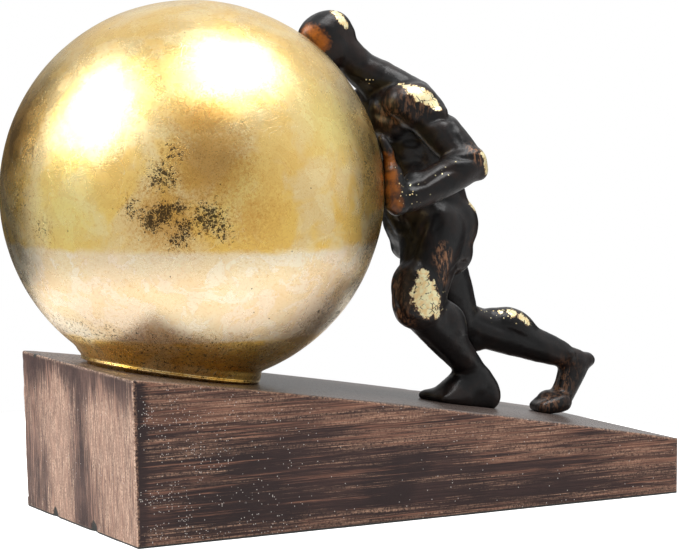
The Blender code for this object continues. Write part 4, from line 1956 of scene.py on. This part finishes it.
    def add_raised_foot(self, clay: Clay, ankle: Triple) -> None:
        """Add the right foot, up on its toes.

        Args:
            clay: Clay to add to.
            ankle: Middle of the ankle.
        """
        ankle = Vector(ankle)
        ball = Vector((202.3, ankle.y - 0.5, 6.0))
        clay.lump(ankle + Vector((7.8, 0, -2.4)), (7.0, 6.2, 5.4))
        clay.lump(ankle + Vector((13.3, 0, -0.3)), (4.4, 5.0, 3.8))
        clay.spindle(ankle, ankle + Vector((7.5, 0, -1.0)), (5.4, 5.4), 5.4)
        clay.spindle(ankle + Vector((5.8, 0, -2)), ball + Vector((1.0, 0, 0)), (5.3, 5.0), 4.8)
        clay.spindle(ankle + Vector((9.6, 0, -3)), ball + Vector((2.6, 0, 1)), (5.0, 4.4), 4.8)
        clay.lump(ball + Vector((-4.6, 0, 0.8)), (5.4, 6.0, 4.4))
        for step in range(5):
            across = 5.8 - 2.9 * step
            tip = Vector((194.2 - 0.7 * step, ball.y + across, 3.0))
            clay.spindle(ball + Vector((0, across * 0.8, 0.6)), tip, (4.6, 2.6 + 0.12 * step), 4.0)


CARVING = (
    Stroke(((76.4, -9.5, 129.7), (77.7, -9.8, 126.5), (76.5, -14.4, 123.1), (80, -19.6, 120)), 1.5, 1.3),
    Stroke(((75.2, -5.7, 129.4), (77, -12.7, 132.5), (81.3, -18, 132.8), (81.4, -28.5, 126.8),
            (85.3, -30.5, 123.2)),
           1.4, 0.9),
    Stroke(((65, -4.4, 135.2), (68.3, -6.5, 135.3), (73.4, -7.7, 132.7)), 1.3, -0.6),
    Stroke(((75, -11, 121), (77, -16.6, 118.9), (80.2, -19.6, 118.2)), 1.4, 0.9),
    Stroke(((89, -15.5, 110.3), (93.5, -18.5, 111.9)), 1.5, 0.8),
    Stroke(((94.3, -43.1, 105.9), (98.6, -47.3, 106.3), (105.7, -48.6, 106.5)), 1.3, 1.0),
    Stroke(((74.3, -44.5, 90.7), (78.9, -45.8, 91), (82.7, -47, 92.8), (86.9, -47.3, 96.3),
            (91.2, -47.4, 99.8), (95.3, -48.5, 100.8), (100.2, -49.4, 100.7)), 1.3, 0.9),
    Stroke(((95.6, 4.3, 78.1), (96.7, -0.2, 73.7), (99.3, -3, 69.4)), 1.3, 0.7),
    Stroke(((94.7, -0.1, 80), (96.9, -5.2, 76.2), (98, -11.1, 72.5), (98.3, -17.7, 68.2)), 1.4, 0.8),
    Stroke(((96.7, -6.8, 80.7), (98.3, -8.5, 76.6), (98.5, -12.4, 73.5)), 1.2, 0.6),
    Stroke(((103, -18.1, 77.9), (99.5, -18.1, 71), (96.9, -17.7, 64.2), (94.8, -16.6, 59.5)), 1.6, 1.0),
    Stroke(((127.2, -16.6, 63.4), (116.6, -26.3, 57.3), (114.2, -27.4, 51.9), (113.2, -27.6, 48)), 1.8, 0.9),
    Stroke(((133.4, -11.4, 15.8), (135.5, -15.2, 16.9), (141, -15.8, 19.2)), 1.2, 0.4),
    Stroke(((107.4, -19.8, 29.7), (117.7, -17.1, 24), (128.8, -13.3, 18.2)), 1.5, 0.6),
    Stroke(((108.9, -19.7, 81.8), (106.8, -22.5, 75.2), (107.5, -25.2, 69.9)), 2.4, 0.5),
    Stroke(((153.9, 8.7, 38.4), (162.5, 7.6, 36.8), (172.4, 5.7, 34.8), (186.4, 5.3, 30.9)), 1.4, 0.8),
    Stroke(((97.6, -36.9, 120.9), (97.9, -40.3, 115.6), (100.4, -43, 111.4)), 1.5, 0.8),
    Stroke(((93.8, -17.8, 43.2), (96.3, -23.9, 36.3), (100.2, -26, 35.2)), 1.5, 0.9),
    Stroke(((92, 1, 137), (101, 1, 132), (110, 1, 124), (118, 1, 112), (122, 1, 100),
            (126, 1, 92)), 2.0, 1.5, 0.1),
    Stroke(((89.2, -33.1, 120), (93.1, -34.9, 122.3), (96.5, -35.4, 122.4), (99.6, -32, 124.4),
            (101, -28, 126)), 1.7, 1.9, 0.5),
    Stroke(((93, -8, 133), (103, -10, 127), (108, -14, 119)), 2.0, 1.0),
    Stroke(((93, 10, 133), (105, 12, 127), (110, 16, 119)), 2.0, 1.0),
    Stroke(((118, -12, 108), (114, -17, 99), (112, -18, 90)), 2.2, 0.9),
    Stroke(((120, 13, 108), (116, 18, 99), (114, 18, 90)), 2.2, 0.9),
    Stroke(((131, 1, 90), (136, 2, 82), (134, 2, 72), (128, 2, 64)), 1.5, 1.6),
    Stroke(((134, -4, 66), (127, -15, 63), (121, -20, 61)), 1.8, 0.7),
    Stroke(((84, 9.7, 126.5), (81, 14.4, 123.1), (85, 19.6, 120)), 1.5, 1.2),
    Stroke(((84, 26, 131), (88, 31, 127), (92, 33, 121)), 1.5, 0.9),
    Stroke(((98, 44, 104), (90, 46, 97), (82, 46, 92)), 1.4, 0.9),
    Stroke(((150, 28, 38), (160, 22, 33), (176, 17, 27)), 1.6, 0.8),
    Stroke(((140, 26, 52), (146, 28, 44), (150, 27, 36)), 1.8, 0.8),
)

CALM = (
    Patch(((70, 0, 143), (84, 0, 136), (98, 0, 130), (110, 0, 122)), 18.0),
    Patch(((126, 0, 84), (128, 4, 72)), 14.0),
    Patch(((110, -8, 88), (104, 0, 84)), 14.0),
    Patch(((139, -14, 9), (132, -13, 6), (146, -13, 7)), 13.0),
    Patch(((118, -19, 78), (126, -14, 70)), 11.0),
)

FINISHES = {
    "leaf": (
        Patch(((54.7, -6.5, 157.5, 2.4), (53.7, -4.2, 159.5, 2.6), (56.8, -6.8, 155.7, 2))),
        Patch(((81.6, -18.3, 132.9, 1.7), (81.2, -23.9, 132.6, 2.2), (82.5, -26.9, 132, 2.8),
               (84.9, -29, 131.1, 3.4),
               (87.9, -30, 129.9, 3.4), (90.8, -30.6, 128.2, 2.8), (92.6, -32.4, 126, 1.6))),
        Patch(((109.6, -47, 108.9), (111, -47, 106.2), (113, -45.5, 103)), 2.2),
        Patch(((129.6, -12.3, 88.6, 3.4), (107, 8, 125, 3.4), (116, 12, 96, 2.6), (134, 10, 80, 2.4))),
        Patch(((100.8, -26.1, 56, 2.4), (100.6, -26.7, 52, 3.0), (99.6, -26.7, 47.6, 3.4),
               (103.4, -28, 50, 3.6),
               (101.2, -28, 44.4, 4.2), (106, -29.3, 46, 3.8), (103.4, -29.1, 40.9, 3.4),
               (108.6, -28.5, 39.8, 2.2))),
        Patch(((166.2, 10.8, 43.2, 1.3), (171.3, 8.8, 43.5, 2.4), (175.8, 7.1, 42.3, 2.2),
               (178.4, 6.5, 40.8, 2))),
        Patch(((150, 27, 44, 3.4), (147, 28, 39, 3), (110, 46, 108, 2.6), (92, 28, 131, 3.4),
               (96, 33, 126, 2.4))),
    ),
    "rub": (
        Patch(((110.3, -26.3, 67.3), (112.4, -26.8, 65), (108.9, -27.1, 63.8), (111, -27.8, 60.6),
               (112.6, -28.2, 56.2)), 3.6, 1.0),
        Patch(((105.1, -46.2, 110.5), (106.7, -47.4, 108.3)), 2.6, 0.75),
        Patch(((94.6, -13.2, 49.3), (94.9, -15.1, 43), (94.6, -19.9, 37)), 3.4, 0.62),
        Patch(((201.9, 5.2, 20.2), (200.5, 5.6, 14), (194, 2.3, 7)), 1.6, 0.56),
        Patch(((76.3, -20, 120.5), (83.6, -26.3, 127)), 2.6, 0.6),
        Patch(((146, 27, 56), (150, 24, 48), (114, 8, 112), (130, -4, 74)), 6.0, 0.7),
    ),
    # Painted reflection of the gold ball on the head and the palms.
    "painted_ball_reflection": (
        Patch(((40.8, -4.2, 150.4), (42.7, -6, 149.4), (44.6, -7.4, 147.8), (46.6, -8, 146)), 3.2, 0.95),
        Patch(((65.7, -43, 100.8), (66, -46.7, 94.7), (67.7, -47.3, 88.7), (69.9, -47.7, 82.8)), 3.3, 1.0),
        Patch(((65.7, 43, 100.8), (66, 46.7, 94.7), (69.9, 47.7, 82.8), (46, 7, 150)), 2.8, 0.8),
    ),
    # Along the forearm these are painted glints; elsewhere gold specks.
    "fleck": (
        Patch(((161.9, 12.5, 43), (166.2, 10.8, 43.2), (171.3, 8.8, 43.5), (175.8, 7.1, 42.3)), 3.4, 0.8),
        Patch(((70.7, -45.8, 93.2), (71.2, -46.6, 90), (72.1, -46.9, 86.8), (73.6, -46, 83.6),
               (69.5, -45, 97)), 1.8, 0.95),
        Patch(((76.8, -46.3, 87), (80.1, -46.6, 86.6), (82.4, -47.4, 90.7), (84.7, -47.8, 92.7),
               (87.6, -48.2, 94.8),
               (91.5, -48, 98.6), (95.3, -48.1, 102.1), (77.1, -44.6, 91.1), (80.8, -46.8, 90.4)), 1.3, 0.62),
        Patch(((70.6, -7.4, 135.7), (72.1, -7.6, 135)), 2.0, 0.7),
        Patch(((102, -29, 58), (112, -29, 45)), 3.0, 0.7),
    ),
}


def stage_material() -> Material:
    """Return the pale floor's material, which the camera sees as evenly white.

    Returns:
        The material.
    """
    mat, w, shader = new_material("sweep")
    w.dress(shader, {"Base Color": (0.68, 0.67, 0.66, 1), "Roughness": 0.9, "Emission Color": (1, 1, 1, 1),
                     "Emission Strength": w.add("ShaderNodeLightPath").outputs["Is Camera Ray"]})
    return mat


@dataclass(frozen=True)
class Stage:
    """The round pale floor that the statue stands on.

    Args:
        radius: Radius in metres.
        centre: Place of its middle, in metres.
        sides: Corners of its rim.
    """

    radius: float = 0.262
    centre: tuple = (-0.019, 0.050)
    sides: int = 96

    def build(self) -> Piece:
        """Lay the floor.

        Returns:
            The floor object.
        """
        turn = [2 * math.pi * i / self.sides for i in range(self.sides)]
        mesh = bpy.data.meshes.new("floor")
        x, y = self.centre
        rim = [(x + self.radius * math.cos(a), y + self.radius * math.sin(a), 0) for a in turn]
        mesh.from_pydata(rim, [], [tuple(range(self.sides))])
        floor = put("floor", mesh)
        mesh.materials.append(stage_material())
        return floor


@dataclass(frozen=True)
class Glow:
    """A soft patch of another brightness on the studio's walls.

    Args:
        aim: Direction from the statue.
        inner: Angle from the aim, in degrees, up to which it is full.
        outer: Angle at which it ends.
        level: Brightness.
    """

    aim: tuple
    inner: float
    outer: float
    level: float


@dataclass(frozen=True)
class Room:
    """The studio that the metal mirrors, seen as white by the camera.

    Args:
        walls: Brightness of the walls.
        glows: Lighter and darker patches.
    """

    walls: float = 0.68
    glows: tuple = (
        Glow((-0.05, 0.99, -0.02), 22, 46, 0.05),
        Glow((0.40, 0.71, 0.58), 10, 40, 0.85),
        Glow((0.82, -0.29, 0.49), 12, 38, 0.86),
        Glow((-0.20, -0.89, 0.40), 8, 30, 0.34),
        Glow((0.93, 0.34, -0.03), 14, 32, 0.06),
        Glow((-0.70, -0.70, -0.17), 5, 24, 0.56),
    )

    def build(self) -> None:
        """Make the world."""
        world = bpy.data.worlds.new("room")
        bpy.context.scene.world = world
        world.use_nodes = True
        w = Weave(world.node_tree)
        back = world.node_tree.nodes["Background"]
        look = w.add("ShaderNodeTexCoord").outputs["Generated"]
        level = self.walls
        for glow in self.glows:
            near = w.add("ShaderNodeVectorMath", operation="DOT_PRODUCT")
            w.feed(near.inputs[0], look)
            w.feed(near.inputs[1], tuple(Vector(glow.aim).normalized()))
            outer, inner = (math.cos(math.radians(angle)) for angle in (glow.outer, glow.inner))
            lit = w.step(near.outputs["Value"], outer, inner)
            level = w.share(lit, level, glow.level)
        seen = w.add("ShaderNodeLightPath").outputs["Is Camera Ray"]
        w.feed(back.inputs["Strength"], w.share(seen, level, 1.0))
        back.inputs["Color"].default_value = (1, 1, 1, 1)


LIGHTS = (
    Softbox("overhead", (0.162, -0.244, 1.233), (-0.05, 0, 0.12), (0.86, 0.62), 11),
    Softbox("upper_left", (-1.025, 0.234, 0.994), (-0.05, 0, 0.12), (0.80, 0.80), 15),
)


def main() -> None:
    """Build the statue's looks, the stage, the lights and the camera."""
    logging.basicConfig(level=logging.INFO)
    scene = bpy.context.scene
    LOG.info("view transform was %s", scene.view_settings.view_transform)
    scene.view_settings.view_transform = "Standard"
    Eye().build()
    effects = Effects()
    Figure().build(bronze_material(BronzeFinish(), effects))
    Ball().build(gold_material(GoldFinish(), effects))
    Ramp().build([paint_material(PAINT[face], effects, face) for face in Face])
    Stage().build()
    Room().build()
    for light in LIGHTS:
        light.build()
    LOG.info("pieces built")


if __name__ == "__main__":
    main()
